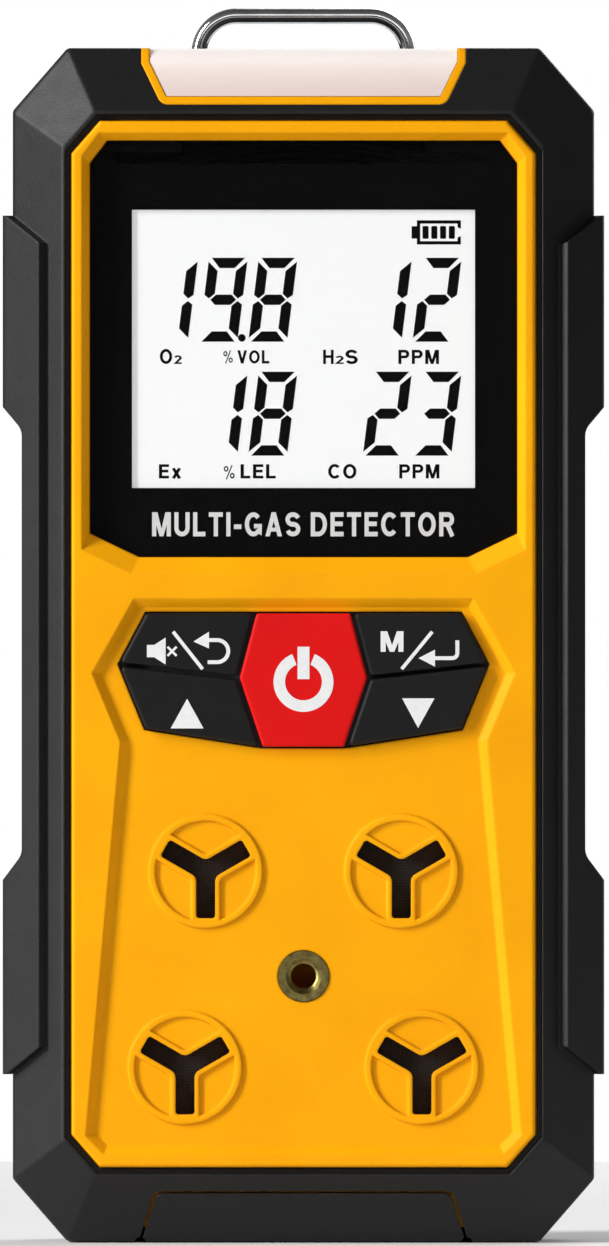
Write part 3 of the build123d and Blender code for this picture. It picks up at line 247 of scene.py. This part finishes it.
def frosted_lens():
    """Milky pinkish lens, matt from spark erosion; its colour is painted darker and pinker towards the
    bottom and near white towards the top, painted shade and painted light, and a weak emission gives it a
    painted glow.
    """
    # The weak emission is a painted glow: the lens is lit by no lamp inside.
    look = Look("frosted_lens", 0.5, Emission_Strength=0.1)
    look.shader.inputs["Emission Color"].default_value = (1, 0.93, 0.88, 1)
    split = look.add("SeparateXYZ")
    look.link(look.place, split.inputs[0])
    low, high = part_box("lamp_lens")
    # Darker and pinker towards the bottom, near white towards the top: painted shade and painted light by
    # height.
    painted_light_height = look.span(split.outputs["Z"], 0, 1, low[2], high[2])
    blotch = look.span(look.noise(9, 3), 0.85, 1.1)
    look.color(look.times(painted_light_height, blotch), (0.15, (0.72, 0.58, 0.54)), (0.5, (0.82, 0.69, 0.64)),
               (0.95, (1.0, 0.93, 0.90)))
    look.gloss(look.noise(1.2, 5), 0.42, 0.6)
    return look.relief(look.noise(0.22, 2), 0.01)


def clear_pane():
    """Hard-coated acrylic: see-through, with fine wipe marks in the gloss."""
    look = Look("clear_pane", 0.05, color=(0.004, 0.004, 0.005), Alpha=0.1)
    look.gloss(look.noise(4, 6, (0.4, 1, 1)), 0.02, 0.09)
    return look.relief(look.noise(7, 4), 0.002)


def display_glass():
    """Reflective display: pale, with the polariser's faint dither; a weak emission is a painted glow that
    brightens it evenly.
    """
    # Emission here is a painted glow standing in for light on the display.
    look = Look("display_glass", 0.35, Emission_Strength=0.5)
    dither = look.noise(0.12, 1)
    look.color(dither, (0.3, (0.80, 0.81, 0.81)), (0.7, (0.86, 0.87, 0.87)))
    look.shader.inputs["Emission Color"].default_value = (0.97, 0.98, 0.98, 1)
    look.gloss(look.noise(3, 4), 0.3, 0.42)
    return look.relief(dither, 0.001)


def printed_ink(name, rgb, **sockets):
    """Screen-printed ink: slightly uneven coverage and a fine mesh texture."""
    look = Look(name, 0.5, **sockets)
    look.color(look.noise(0.5, 3), (0.3, shade(rgb, 0.94)), (0.7, shade(rgb, 1.0)))
    look.gloss(look.noise(0.6, 4), 0.4, 0.58)
    return look.relief(look.noise(0.1, 2), 0.004)


def dust_mesh():
    """Black woven filter: two crossed sets of fine threads."""
    look = Look("dust_mesh", 0.9)
    weave = look.times(look.waves(0.32, "X"), look.waves(0.32, "Z"))
    look.color(weave, (0.2, (0.002, 0.002, 0.002)), (0.8, (0.02, 0.02, 0.02)))
    look.gloss(look.noise(1, 3), 0.8, 0.95)
    return look.relief(weave, 0.06)


def knurled_brass():
    look = Look("knurled_brass", 0.34, metallic=1.0)
    look.color(look.noise(0.8, 5), (0.3, (0.16, 0.12, 0.03)), (0.7, (0.40, 0.33, 0.12)))
    look.gloss(look.noise(0.4, 5), 0.25, 0.45)
    return look.relief(look.noise(0.12, 3), 0.008)


def foam(name, rgb):
    look = Look(name, 0.95)
    # The pits of the cells are painted darker: painted shade in the foam's pores.
    look.color(look.cells(0.7), (0.1, shade(rgb, 0.4)), (0.6, rgb))
    look.gloss(look.noise(0.7, 3), 0.88, 1.0)
    return look.relief(look.cells(0.7), 0.2)


def shrink_wrap():
    look = Look("shrink_wrap", 0.3, Coat_Weight=0.5)
    look.color(look.noise(9, 4), (0.3, (0.01, 0.06, 0.21)), (0.7, (0.02, 0.11, 0.32)))
    look.gloss(look.noise(2, 5), 0.22, 0.4)
    return look.relief(look.noise(3.5, 4, (0.3, 1, 1)), 0.12)


LOOKS = {
    # The last colour of each moulded look lightens its edges: partly rubbed wear, partly a painted edge
    # highlight.
    "yellow_shell": moulded("yellow_shell", YELLOW, 0.42, 0.28, 0.010, 0.5, (1.0, 0.52, 0.03),
                            Specular_IOR_Level=0.07),
    "black_bumper": moulded("black_bumper", BLACK, 0.42, 0.32, 0.014, 0.5, (0.04, 0.04, 0.042),
                            Specular_IOR_Level=0.3),
    "back_shell": moulded("back_shell", (0.016, 0.016, 0.017), 0.5, 0.4, 0.03, 0.4, (0.05, 0.05, 0.05)),
    "soft_black": moulded("soft_black", (0.012, 0.012, 0.012), 0.62, 0.3, 0.01),
    "label": moulded("label", (0.62, 0.63, 0.63), 0.42, 0.15, 0.003),
    "pane": clear_pane(),
    "ink": printed_ink("black_ink", (0.0008, 0.0008, 0.0008), Specular_IOR_Level=0.1),
    "lcd": display_glass(),
    "backlight": moulded("backlight", (0.75, 0.78, 0.76), 0.3, 0.3, 0.004),
    "frame_white": moulded("frame_white", (0.6, 0.6, 0.58), 0.5, 0.3, 0.008),
    "key_black": moulded("key_black", (0.008, 0.008, 0.0083), 0.42, 0.22, 0.008, 0.7, (0.05, 0.05, 0.05),
                         Specular_IOR_Level=0.2),
    "key_red": moulded("key_red", RED, 0.44, 0.22, 0.008, 0.5, (0.85, 0.06, 0.05), Specular_IOR_Level=0.12),
    "silicone": moulded("silicone", (0.12, 0.12, 0.125), 0.6, 0.3, 0.01),
    "plunger": moulded("plunger", (0.6, 0.6, 0.56), 0.5, 0.3, 0.008),
    "switch": moulded("switch", (0.02, 0.02, 0.02), 0.5, 0.2, 0.01),
    "board": circuit_board(),
    "chip": moulded("chip", (0.013, 0.013, 0.014), 0.55, 0.12, 0.01),
    "steel": metal("zinc_steel", (0.52, 0.52, 0.53), 0.32),
    "sensor_can": moulded("sensor_can", (0.55, 0.56, 0.54), 0.45, 0.3, 0.01),
    "filter": dust_mesh(),
    "brass": knurled_brass(),
    "lamp": frosted_lens(),
    "led": moulded("led", (0.8, 0.72, 0.45), 0.2, 0.3, 0.002),
    "cell_wrap": shrink_wrap(),
    "foam": foam("foam", (0.04, 0.04, 0.042)),
    "lead": moulded("lead", (0.45, 0.01, 0.01), 0.4, 0.3, 0.006),
    "buzzer_black": moulded("buzzer_black", (0.014, 0.014, 0.014), 0.45, 0.3, 0.01),
    "bail_chrome": chrome_wire(),
    "clip_steel": metal("brushed_spring_steel", (0.42, 0.42, 0.43), 0.3, (0.06, 1, 1), 0.006, 0.2),
    "white_ink": printed_ink("white_ink", (0.86, 0.86, 0.86)),
    "display_ink": printed_ink("display_ink", (0.002, 0.002, 0.002), Specular_IOR_Level=0.1),
}


def dress_cad_nodes():
    """Gives every CAD node the look of its material slot."""
    slots = {part["node"]: part["material_slot"] for part in frame["record"]["subparts"]}
    for name, node in frame["nodes"].items():
        node.data.materials.clear()
        node.data.materials.append(LOOKS[slots[name]].material)


# ---------------------------------------------------------------- flat printed pieces
CHARACTER_T, PRINT_T = 0.03, 0.02


def finish_piece(name, mesh, body, look):
    """Makes an object of a mesh, gives it its look and lets it ride on a body."""
    piece = bpy.data.objects.new(name, mesh)
    bpy.context.scene.collection.objects.link(piece)
    mesh.materials.clear()
    mesh.materials.append(LOOKS[look].material)
    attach(piece, body)
    return piece


def plates(outlines, surface, thickness):
    """Mesh of flat plates from closed outlines of (x, z), standing out towards -Y from a surface depth."""
    form = bmesh.new()
    for number, outline in enumerate(outlines):
        face = surface - thickness * (1 - 0.08 * (number % 6))  # plates that overlap differ in height
        back = [form.verts.new((x * MM, surface * MM, z * MM)) for x, z in outline]
        front = [form.verts.new((x * MM, face * MM, z * MM)) for x, z in outline]
        form.faces.new(back)
        form.faces.new(front)
        for i in range(len(outline)):
            j = (i + 1) % len(outline)
            form.faces.new((back[i], back[j], front[j], front[i]))
    return finish_form(form, "plates")


def loft(form, rings):
    """Adds a closed skin with capped ends through rings of equally many points, in millimetres."""
    rows = [[form.verts.new(Vector(point) * MM) for point in ring] for ring in rings]
    sides = len(rows[0])
    for first, second in zip(rows, rows[1:]):
        for k in range(sides):
            form.faces.new((first[k], first[(k + 1) % sides], second[(k + 1) % sides], second[k]))
    form.faces.new(rows[0])
    form.faces.new(rows[-1])


def finish_form(form, name):
    """Turns a bmesh into a mesh with its faces outward."""
    bmesh.ops.recalc_face_normals(form, faces=form.faces)
    mesh = bpy.data.meshes.new(name)
    form.to_mesh(mesh)
    form.free()
    return mesh


def bar(start, end, width):
    """Outline of a straight stroke."""
    (x0, z0), (x1, z1) = start, end
    angle = atan2(z1 - z0, x1 - x0)
    dx, dz = sin(angle) * width / 2, -cos(angle) * width / 2
    return [(x0 + dx, z0 + dz), (x1 + dx, z1 + dz), (x1 - dx, z1 - dz), (x0 - dx, z0 - dz)]


def arc(centre, radius, width, start, end, steps=32):
    """Outline of a curved stroke between two angles in degrees."""
    angles = [radians(start + (end - start) * i / steps) for i in range(steps + 1)]
    outer, inner = radius + width / 2, radius - width / 2
    ring = [(centre[0] + outer * cos(a), centre[1] + outer * sin(a)) for a in angles]
    return ring + [(centre[0] + inner * cos(a), centre[1] + inner * sin(a)) for a in reversed(angles)]


def disc(centre, radius, steps=24):
    return [(centre[0] + radius * cos(2 * pi * i / steps), centre[1] + radius * sin(2 * pi * i / steps))
            for i in range(steps)]


def rectangle(left, low, right, high):
    return [(left, low), (right, low), (right, high), (left, high)]


def rounded(left, low, right, high, radius, steps=5):
    """Outline of a rectangle with round corners."""
    corners = [(right - radius, high - radius, 0), (left + radius, high - radius, 90),
               (left + radius, low + radius, 180), (right - radius, low + radius, 270)]
    points = []
    for x, z, start in corners:
        for i in range(steps + 1):
            angle = radians(start + 90 * i / steps)
            points.append((x + radius * cos(angle), z + radius * sin(angle)))
    return points


def stroke(points, weight):
    """Outline of a bent stroke with mitred corners along a centre line."""
    sides = [[], []]
    last = len(points) - 1
    for i, (x, z) in enumerate(points):
        into, out_of = max(i, 1), min(i, last - 1)
        first = (Vector(points[into]) - Vector(points[into - 1])).normalized()
        second = (Vector(points[out_of + 1]) - Vector(points[out_of])).normalized()
        middle = Vector((-first.y - second.y, first.x + second.x)).normalized()
        reach = weight / 2 / max(0.5, middle.dot(Vector((-first.y, first.x))))
        for side, sign in zip(sides, (1, -1)):
            side.append((x + sign * middle.x * reach, z + sign * middle.y * reach))
    return sides[0] + sides[1][::-1]


def oval(x, z, reach_x, reach_z, start, end, steps=18):
    """Points along an ellipse between two angles in degrees."""
    angles = [radians(start + (end - start) * i / steps) for i in range(steps + 1)]
    return [(x + reach_x * cos(a), z + reach_z * sin(a)) for a in angles]


def mirror_pair(outline, width):
    return [outline, [(width - x, z) for x, z in reversed(outline)]]


def glyph(letter, t):
    """Width and outlines of one sans-serif letter of cap height 1, with strokes t wide."""
    a = t / 2  # from an edge to the stroke's centre line
    if letter in "MAV":
        width = {"M": 0.86, "A": 0.76, "V": 0.72}[letter]
        mid = width / 2
        leg = [(0, 0), (1.05 * t, 0), (mid + 0.55 * t, 1), (mid - 0.5 * t, 1)]
        if letter == "M":
            diagonal = [(0.02, 1), (1.3 * t, 1), (mid + 0.45 * t, 0), (mid - 0.45 * t, 0)]
            return width, mirror_pair(rectangle(0, 0, t, 1), width) + mirror_pair(diagonal, width)
        if letter == "A":
            return width, mirror_pair(leg, width) + [rectangle(0.2, 0.2, width - 0.2, 0.2 + 0.85 * t)]
        return width, mirror_pair([(x, 1 - z) for x, z in leg], width)
    if letter in "xX":
        width, tall = (0.58, 0.72) if letter == "x" else (0.7, 1)
        return width, mirror_pair(bar((0.1, 0), (width - 0.1, tall), t), width)
    if letter == "%":
        rings = [arc(at, 0.16, 0.11, 0, 360, 20) for at in ((0.22, 0.76), (0.78, 0.24))]
        return 1.0, [bar((0.24, -0.03), (0.76, 1.03), 0.1), *rings]
    width, lines = {
        "I": (t, [[(a, 0), (a, 1)]]),
        "L": (0.56, [[(a, 1), (a, a), (0.56, a)]]),
        "T": (0.64, [[(0, 1 - a), (0.64, 1 - a)], [(0.32, 1 - t), (0.32, 0)]]),
        "E": (0.6, [[(0.6, 1 - a), (a, 1 - a), (a, a), (0.6, a)], [(t, 0.52), (0.56, 0.52)]]),
        "H": (0.72, [[(a, 0), (a, 1)], [(0.72 - a, 0), (0.72 - a, 1)], [(t, 0.52), (0.72 - t, 0.52)]]),
        "U": (0.7, [[(a, 1), *oval(0.35, 0.35, 0.35 - a, 0.35 - a, 180, 360), (0.7 - a, 1)]]),
        "O": (0.8, [oval(0.4, 0.5, 0.4 - a, 0.5 - a, 0, 360, 36)]),
        "C": (0.74, [oval(0.39, 0.5, 0.39 - a, 0.5 - a, 42, 318, 28)]),
        "G": (0.78, [[*oval(0.39, 0.5, 0.39 - a, 0.5 - a, 42, 322, 28), (0.78 - a, 0.2), (0.78 - a, 0.42),
                      (0.42, 0.42)]]),
        "S": (0.68, [[*oval(0.34, 0.7, 0.34 - a, 0.3 - a, 18, 268),
                      *oval(0.34, 0.3, 0.34 - a, 0.3 - a, 88, -162)]]),
        "D": (0.74, [[(a, 0), (a, 1)], [(t, 1 - a), *oval(0.34, 0.5, 0.4 - a, 0.5 - a, 88, -88), (t, a)]]),
        "P": (0.68, [[(a, 0), (a, 1 - a), *oval(0.4, 0.7, 0.28 - a, 0.3 - a, 88, -88), (t, 0.4 + a)]]),
        "R": (0.72, [[(a, 0), (a, 1 - a), *oval(0.4, 0.7, 0.28 - a, 0.3 - a, 88, -88), (t, 0.4 + a)],
                     [(0.36, 0.5), (0.72 - 0.6 * t, 0)]]),
        "-": (0.34, [[(0, 0.4), (0.34, 0.4)]]),
        "0": (0.62, [oval(0.31, 0.5, 0.31 - a, 0.5 - a, 0, 360, 28)]),
        "1": (0.4, [[(0, 0.74), (0.4 - a, 0.92)], [(0.4 - a, 0), (0.4 - a, 1)]]),
        "2": (0.6, [[*oval(0.3, 0.7, 0.3 - a, 0.3 - a, 165, -35), (0.12, a), (0.6, a)]]),
        "3": (0.62, [oval(0.3, 0.74, 0.29 - a, 0.26 - a, 160, -88),
                     oval(0.3, 0.28, 0.31 - a, 0.28 - a, 88, -160)]),
    }[letter]
    return width, [stroke(line, t) for line in lines]


LETTER_GAP, WORD_GAP, WEIGHT = 0.16, 0.32, 0.19  # times the cap height


def wording(text, left, right, base, top, facing=-1):
    """Outlines of a line of capitals fitted between four limits, to be read from -Y (-1) or +Y (1)."""
    outlines, place = [], 0.0
    for letter in text:
        if letter == " ":
            place += WORD_GAP
            continue
        width, shapes = glyph(letter, WEIGHT)
        outlines += [[(place + x, z) for x, z in shape] for shape in shapes]
        place += width + LETTER_GAP
    stretch, rise, middle = (right - left) / (place - LETTER_GAP), top - base, (left + right) / 2
    half = (right - left) / 2
    placed = []
    for outline in outlines:
        placed.append([(middle - facing * (x * stretch - half), base + z * rise) for x, z in outline])
    return placed


# ---------------------------------------------------------------- display
DIGIT_W, DIGIT_H, BAR_T = 4.25, 9.2, 1.13
DIGIT_PITCH = 5.445
SLANT = 0.125  # sideways per unit of height
UPPER_BASE, LOWER_BASE = 98.74, 86.25
LEFT_GROUP, RIGHT_GROUP = -6.06, 11.94  # the last digit's lower left corner in each group
SEGMENTS = {"0": "abcdef", "1": "bc", "2": "abged", "3": "abgcd", "8": "abcdefg", "9": "abcdfg"}


def segment(letter):
    """Outline of one bar of a seven-bar digit, upright, from its lower left corner."""
    gap, half, tip = 0.17, DIGIT_H / 2, BAR_T / 2
    inset = 0.48 * BAR_T
    top = [(0.3, DIGIT_H), (DIGIT_W - 0.3, DIGIT_H), (DIGIT_W - BAR_T - gap, DIGIT_H - BAR_T),
           (BAR_T + gap, DIGIT_H - BAR_T)]
    left = [(0, DIGIT_H - 0.42), (BAR_T, DIGIT_H - BAR_T - 0.32), (BAR_T, half + 0.66),
            (inset, half + 0.14), (0, half + 0.52)]
    start, end = inset + gap, DIGIT_W - inset - gap
    middle = [(start, half), (start + tip, half + tip), (end - tip, half + tip), (end, half),
              (end - tip, half - tip), (start + tip, half - tip)]
    flip_x = [(DIGIT_W - x, z) for x, z in left]
    return {
        "a": top,
        "b": flip_x,
        "c": [(x, DIGIT_H - z) for x, z in flip_x],
        "d": [(x, DIGIT_H - z) for x, z in top],
        "e": [(x, DIGIT_H - z) for x, z in left],
        "f": left,
        "g": middle,
    }[letter]


def number(text, last_x, base):
    """Slanted seven-bar digits that end at last_x; a point stands before the last digit."""
    outlines = []
    digits = text.replace(".", "")
    for place, digit in enumerate(reversed(digits)):
        start = last_x - place * DIGIT_PITCH
        for letter in SEGMENTS[digit]:
            outlines.append([(start + x + SLANT * z, base + z) for x, z in segment(letter)])
    if "." in text:
        point_r = 0.42
        outlines.append(disc((last_x - 0.7, base + point_r), point_r))
    return outlines


def battery_symbol(left, low, right, high):
    """Battery outline with a terminal on the left, four charge bars and a notch in its right end."""
    wall, middle = 0.36, (low + high) / 2
    body, inner = left + 0.58, right - wall  # the case's left edge and the inside of its right end
    outlines = [
        rectangle(body, high - wall, right, high),
        rectangle(body, low, right, low + wall),
        rectangle(body, low + wall, body + wall, high - wall),
        rectangle(left, middle - 0.68, body, middle + 0.68),
        [(inner, high - wall), (right, high - wall), (right, middle + 0.4), (inner, middle + 0.55)],
        [(inner, low + wall), (right, low + wall), (right, middle - 0.4), (inner, middle - 0.55)],
    ]
    bars, first, pitch, width, half_height = 4, left + 1.2, 0.96, 0.66, 0.7
    for i in range(bars):
        x = first + i * pitch
        outlines.append(rounded(x, middle - half_height, x + width, middle + half_height, 0.14))
    return outlines


def display_characters():
    surface = box_mm("lcd_glass")[0].y
    outlines = number("19.8", LEFT_GROUP, UPPER_BASE) + number("12", RIGHT_GROUP, UPPER_BASE)
    outlines += number("18", LEFT_GROUP, LOWER_BASE) + number("23", RIGHT_GROUP, LOWER_BASE)
    outlines += battery_symbol(11.85, 109.4, 17.25, 112.05)
    words = [  # text, left, right, base, top
        ("O", -15.75, -14.4, 96.3, 97.95), ("2", -14.2, -13.35, 96.3, 97.25),
        ("%", -8.8, -7.75, 96.4, 97.75), ("VOL", -7.25, -3.75, 96.35, 97.8),
        ("H", 2.15, 3.3, 96.3, 97.85), ("2", 3.5, 4.4, 96.3, 97.2), ("S", 4.6, 5.95, 96.28, 97.87),
        ("PPM", 10.4, 14.85, 96.3, 97.85),
        ("Ex", -15.85, -13.4, 83.75, 85.3),
        ("%", -8.75, -7.55, 83.7, 85.15), ("LEL", -6.9, -3.05, 83.75, 85.3),
        ("CO", 2.7, 5.8, 83.72, 85.33), ("PPM", 10.5, 14.9, 83.75, 85.3),
    ]
    for word in words:
        outlines += wording(*word)
    finish_piece("display_characters", plates(outlines, surface, CHARACTER_T), "case", "display_ink")


def title():
    """Generic title, printed under the display on the back of the window."""
    surface = box_mm("window_mask")[0].y
    outlines = wording("MULTI-GAS DETECTOR", -16.6, 16.6, 77.4, 80.04)
    finish_piece("title_print", plates(outlines, surface, PRINT_T), "case", "white_ink")


# ---------------------------------------------------------------- key legends
def power_symbol():
    centre = (0, 61.45)
    return [arc(centre, 2.65, 1.26, 112, 428, 56), rectangle(-0.65, 61.75, 0.65, 65.3)]


def mute_symbol():
    """Loudspeaker with a cross, a slash and a return arrow."""
    speaker = [
        (-17.15, 65.5), (-17.15, 64.15), (-16.35, 64.15), (-15.1, 63.35), (-15.1, 66.3), (-16.35, 65.5),
    ]
    cross = [bar((-14.9, 65.3), (-13.9, 64.3), 0.26), bar((-14.9, 64.3), (-13.9, 65.3), 0.26)]
    slash = bar((-14.28, 66.95), (-11.05, 62.85), 0.38)
    arrow = [(-12.05, 65.87), (-10.35, 66.95), (-10.35, 65.1)]
    turn = [bar((-10.4, 66.03), (-9.45, 66.03), 0.42), arc((-9.45, 64.82), 1.21, 0.42, -90, 90, 20),
            bar((-9.45, 63.61), (-10.5, 63.61), 0.42)]
    return [speaker, *cross, slash, arrow, *turn]


def menu_symbol():
    """Letter M, a slash and an enter arrow."""
    slash = bar((10.75, 62.85), (14.1, 66.95), 0.38)
    arrow = [(12.6, 64.05), (14.4, 64.98), (14.4, 63.12)]
    line = [bar((14.3, 64.05), (16.3, 64.05), 0.42), arc((16.3, 64.6), 0.55, 0.42, -90, 0, 8),
            bar((16.85, 64.6), (16.85, 66.0), 0.42)]
    return wording("M", 8.45, 10.95, 64.75, 67.0) + [slash, arrow, *line]


def key_legends():
    surface = box_mm("power_key")[0].y
    legends = {
        "power": power_symbol(),
        "mute": mute_symbol(),
        "menu": menu_symbol(),
        "up": [[(-14.55, 56.35), (-10.95, 56.35), (-12.75, 59.6)]],
        "down": [[(10.8, 59.65), (12.55, 56.4), (14.35, 59.65)]],
    }
    for key, outlines in legends.items():
        mesh = plates(outlines, surface, CHARACTER_T)
        finish_piece(f"{key}_legend", mesh, f"{key}_key_body", "white_ink")


# ---------------------------------------------------------------- back
def rating_print():
    """A generic table of measuring ranges on the back label."""
    low, high = box_mm("rating_label")
    surface = high.y + PRINT_T
    margin, rule, pitch, cap, divider = 2.0, 0.18, 4.4, 1.7, 3.0
    left, right, grid = low.x + margin, high.x - margin, low.z + 1.4
    rows = [("O2", "0-30 %VOL"), ("H2S", "0-100 PPM"), ("CO", "0-1000 PPM"), ("EX", "0-100 %LEL")]
    top = grid + len(rows) * pitch
    outlines = []
    for i in range(len(rows) + 1):
        outlines.append(rectangle(left, grid + i * pitch, right, grid + i * pitch + rule))
    for x in (left, divider, right - rule):
        outlines.append(rectangle(x, grid, x + rule, top))
    gas_edge, span_edge = 13.5, 1.2  # the words start at these X and run towards -X
    for i, (gas, span) in enumerate(reversed(rows)):
        z = grid + 1.2 + i * pitch
        outlines += wording(gas, gas_edge - 1.4 * len(gas), gas_edge, z, z + cap, facing=1)
        outlines += wording(span, span_edge - 1.32 * len(span), span_edge, z, z + cap, facing=1)
    outlines += wording("GAS DETECTOR", -9, 9, top + 2.0, top + 4.4, facing=1)
    finish_piece("rating_print", plates(outlines, surface, PRINT_T), "case", "display_ink")


def thumb_ribs():
    """Pressed ribs across the clip's thumb pad."""
    upper, lower = Vector((0, 22.45, 104.0)), Vector((0, 24.05, 99.2))  # on the lever's middle line
    along = (lower - upper).normalized()
    outward = Vector((0, -along.z, along.y))
    count, half_length, radius, flatness, sides = 5, 4.6, 0.42, 0.7, 12
    skin, sink = 0.5, 0.08  # half the lever's thickness, and how deep the ribs sit in it
    half_profile = [(half_length, 0.05), (half_length - 0.4, radius * 0.8), (half_length - 1, radius)]
    profile = [(-x, r) for x, r in half_profile] + half_profile[::-1]
    form = bmesh.new()
    for i in range(count):
        middle = upper + (lower - upper) * (i + 0.5) / count + outward * (skin - sink)
        rings = []
        for x, r in profile:
            angles = [2 * pi * k / sides for k in range(sides)]
            section = [along * (r * cos(a)) + outward * (flatness * r * sin(a)) for a in angles]
            rings.append([middle + spot + Vector((x, 0, 0)) for spot in section])
        loft(form, rings)
    mesh = finish_form(form, "thumb_ribs")
    mesh.polygons.foreach_set("use_smooth", [True] * len(mesh.polygons))
    finish_piece("thumb_ribs", mesh, "clip_lever", "clip_steel")


def insert_thread():
    """Helical ridge inside the brass insert's bore."""
    low, high = box_mm("pump_insert")
    middle_x, middle_z = (low.x + high.x) / 2, (low.z + high.z) / 2
    pitch, steps, root, crest = 0.7, 32, 1.66, 1.4
    lead_in, run_out = 0.5, 0.7  # plain lengths of the bore before and after the thread
    turns = (high.y - low.y - lead_in - run_out) / pitch
    section = ((root, -0.25), (crest, -0.06), (crest, 0.06), (root, 0.25))  # radius, place along the bore
    rings = []
    for i in range(int(turns * steps) + 1):
        angle, y = 2 * pi * i / steps, low.y + lead_in + pitch * i / steps
        rings.append([(middle_x + r * cos(angle), y + dy, middle_z + r * sin(angle)) for r, dy in section])
    form = bmesh.new()
    loft(form, rings)
    finish_piece("insert_thread", finish_form(form, "insert_thread"), "case", "brass")


def bending_spring():
    """The clip's spring, between its leg on the case and its leg under the lever: a copy of the CAD
    spring's mesh, set in place, with the CAD node hidden.
    """
    source = frame["nodes"]["clip_spring"]
    mesh = source.data.copy()
    mesh.transform(source.matrix_world)
    spring = bpy.data.objects.new("bending_spring", mesh)
    bpy.context.scene.collection.objects.link(spring)
    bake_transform(spring)
    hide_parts("clip_spring")


# ---------------------------------------------------------------- stage
def floor():
    """Round pale floor under the object."""
    radius, steps, drop = 0.45, 96, 0.1 * MM
    mesh = bpy.data.meshes.new("floor")
    angles = [2 * pi * i / steps for i in range(steps)]
    ring = [(radius * cos(a), radius * sin(a), -drop) for a in angles]
    mesh.from_pydata(ring, [], [tuple(range(steps))])
    ground = bpy.data.objects.new("floor", mesh)
    bpy.context.scene.collection.objects.link(ground)
    look = Look("floor_paper", 0.8)
    look.color(look.noise(60, 3), (0.3, (0.9, 0.9, 0.9)), (0.7, (0.93, 0.93, 0.93)))
    look.relief(look.noise(1.5, 3), 0.02)
    mesh.materials.append(look.material)


def sky():
    """White to the camera; to the object, a studio brightest just above its horizon and dim below."""
    world = bpy.data.worlds.new("studio")
    bpy.context.scene.world = world
    world.use_nodes = True
    nodes, links = world.node_tree.nodes, world.node_tree.links
    seen, lit = nodes["Background"], nodes.new("ShaderNodeBackground")
    seen.inputs["Color"].default_value = (1, 1, 1, 1)
    direction, split = nodes.new("ShaderNodeTexCoord"), nodes.new("ShaderNodeSeparateXYZ")
    ramp, mix = nodes.new("ShaderNodeValToRGB"), nodes.new("ShaderNodeMixShader")
    path = nodes.new("ShaderNodeLightPath")
    painted_light_height = nodes.new("ShaderNodeMapRange")
    painted_light_height.inputs["From Min"].default_value = -1
    links.new(direction.outputs["Generated"], split.inputs["Vector"])
    links.new(split.outputs["Z"], painted_light_height.inputs["Value"])
    links.new(painted_light_height.outputs["Result"], ramp.inputs["Fac"])
    levels = ((0, 0.03), (0.5, 0.03), (0.62, 0.25), (0.8, 0.16), (1, 0.08))
    elements = ramp.color_ramp.elements
    while len(elements) < len(levels):
        elements.new(0.5)
    for element, (position, level) in zip(elements, levels):
        element.position = position
        element.color = (level, level, level, 1)
    links.new(ramp.outputs["Color"], lit.inputs["Color"])
    links.new(path.outputs["Is Camera Ray"], mix.inputs["Fac"])
    links.new(lit.outputs["Background"], mix.inputs[1])
    links.new(seen.outputs["Background"], mix.inputs[2])
    links.new(mix.outputs["Shader"], nodes["World Output"].inputs["Surface"])


def softbox(name, place, size, power):
    """Rectangular lamp aimed at the object's middle: metres and watts."""
    target = Vector((0, 0, 0.07))
    data = bpy.data.lights.new(name, "AREA")
    data.shape = "RECTANGLE"
    data.size, data.size_y = size
    data.energy = power
    lamp = bpy.data.objects.new(name, data)
    lamp.location = place
    lamp.rotation_euler = (target - Vector(place)).to_track_quat("-Z", "Y").to_euler()
    bpy.context.scene.collection.objects.link(lamp)


def lights():
    softbox("key_light", (-0.95, -0.5, 0.5), (0.22, 0.9), 18)
    softbox("front_strip", (0.1, -1.15, 0.5), (1.2, 0.3), 1.5)
    softbox("edge_light", (0.75, 0.8, 0.35), (0.2, 0.6), 3)
    softbox("back_light", (0.3, 1.0, 0.6), (0.6, 0.6), 5)


def camera():
    """Long lens straight at the front; the frame is as high as 136.8 mm at the object."""
    data = bpy.data.cameras.new("camera")
    data.sensor_fit = "AUTO"
    data.lens = 800
    frame_height, middle_x, middle_z = 136.8 * MM, 0.11 * MM, 67.9 * MM
    measured_y = -8 * MM  # the depth at which the frame has that height
    distance = frame_height * data.lens / data.sensor_width
    data.clip_start, data.clip_end = 0.1, 50
    view = bpy.data.objects.new("camera", data)
    view.location = (middle_x, measured_y - distance, middle_z)
    view.rotation_euler = (pi / 2, 0, 0)
    bpy.context.scene.collection.objects.link(view)
    bpy.context.scene.camera = view


dress_cad_nodes()
display_characters()
title()
key_legends()
rating_print()
thumb_ribs()
insert_thread()
bending_spring()
floor()
sky()
lights()
camera()
bpy.context.scene.view_settings.view_transform = "Standard"
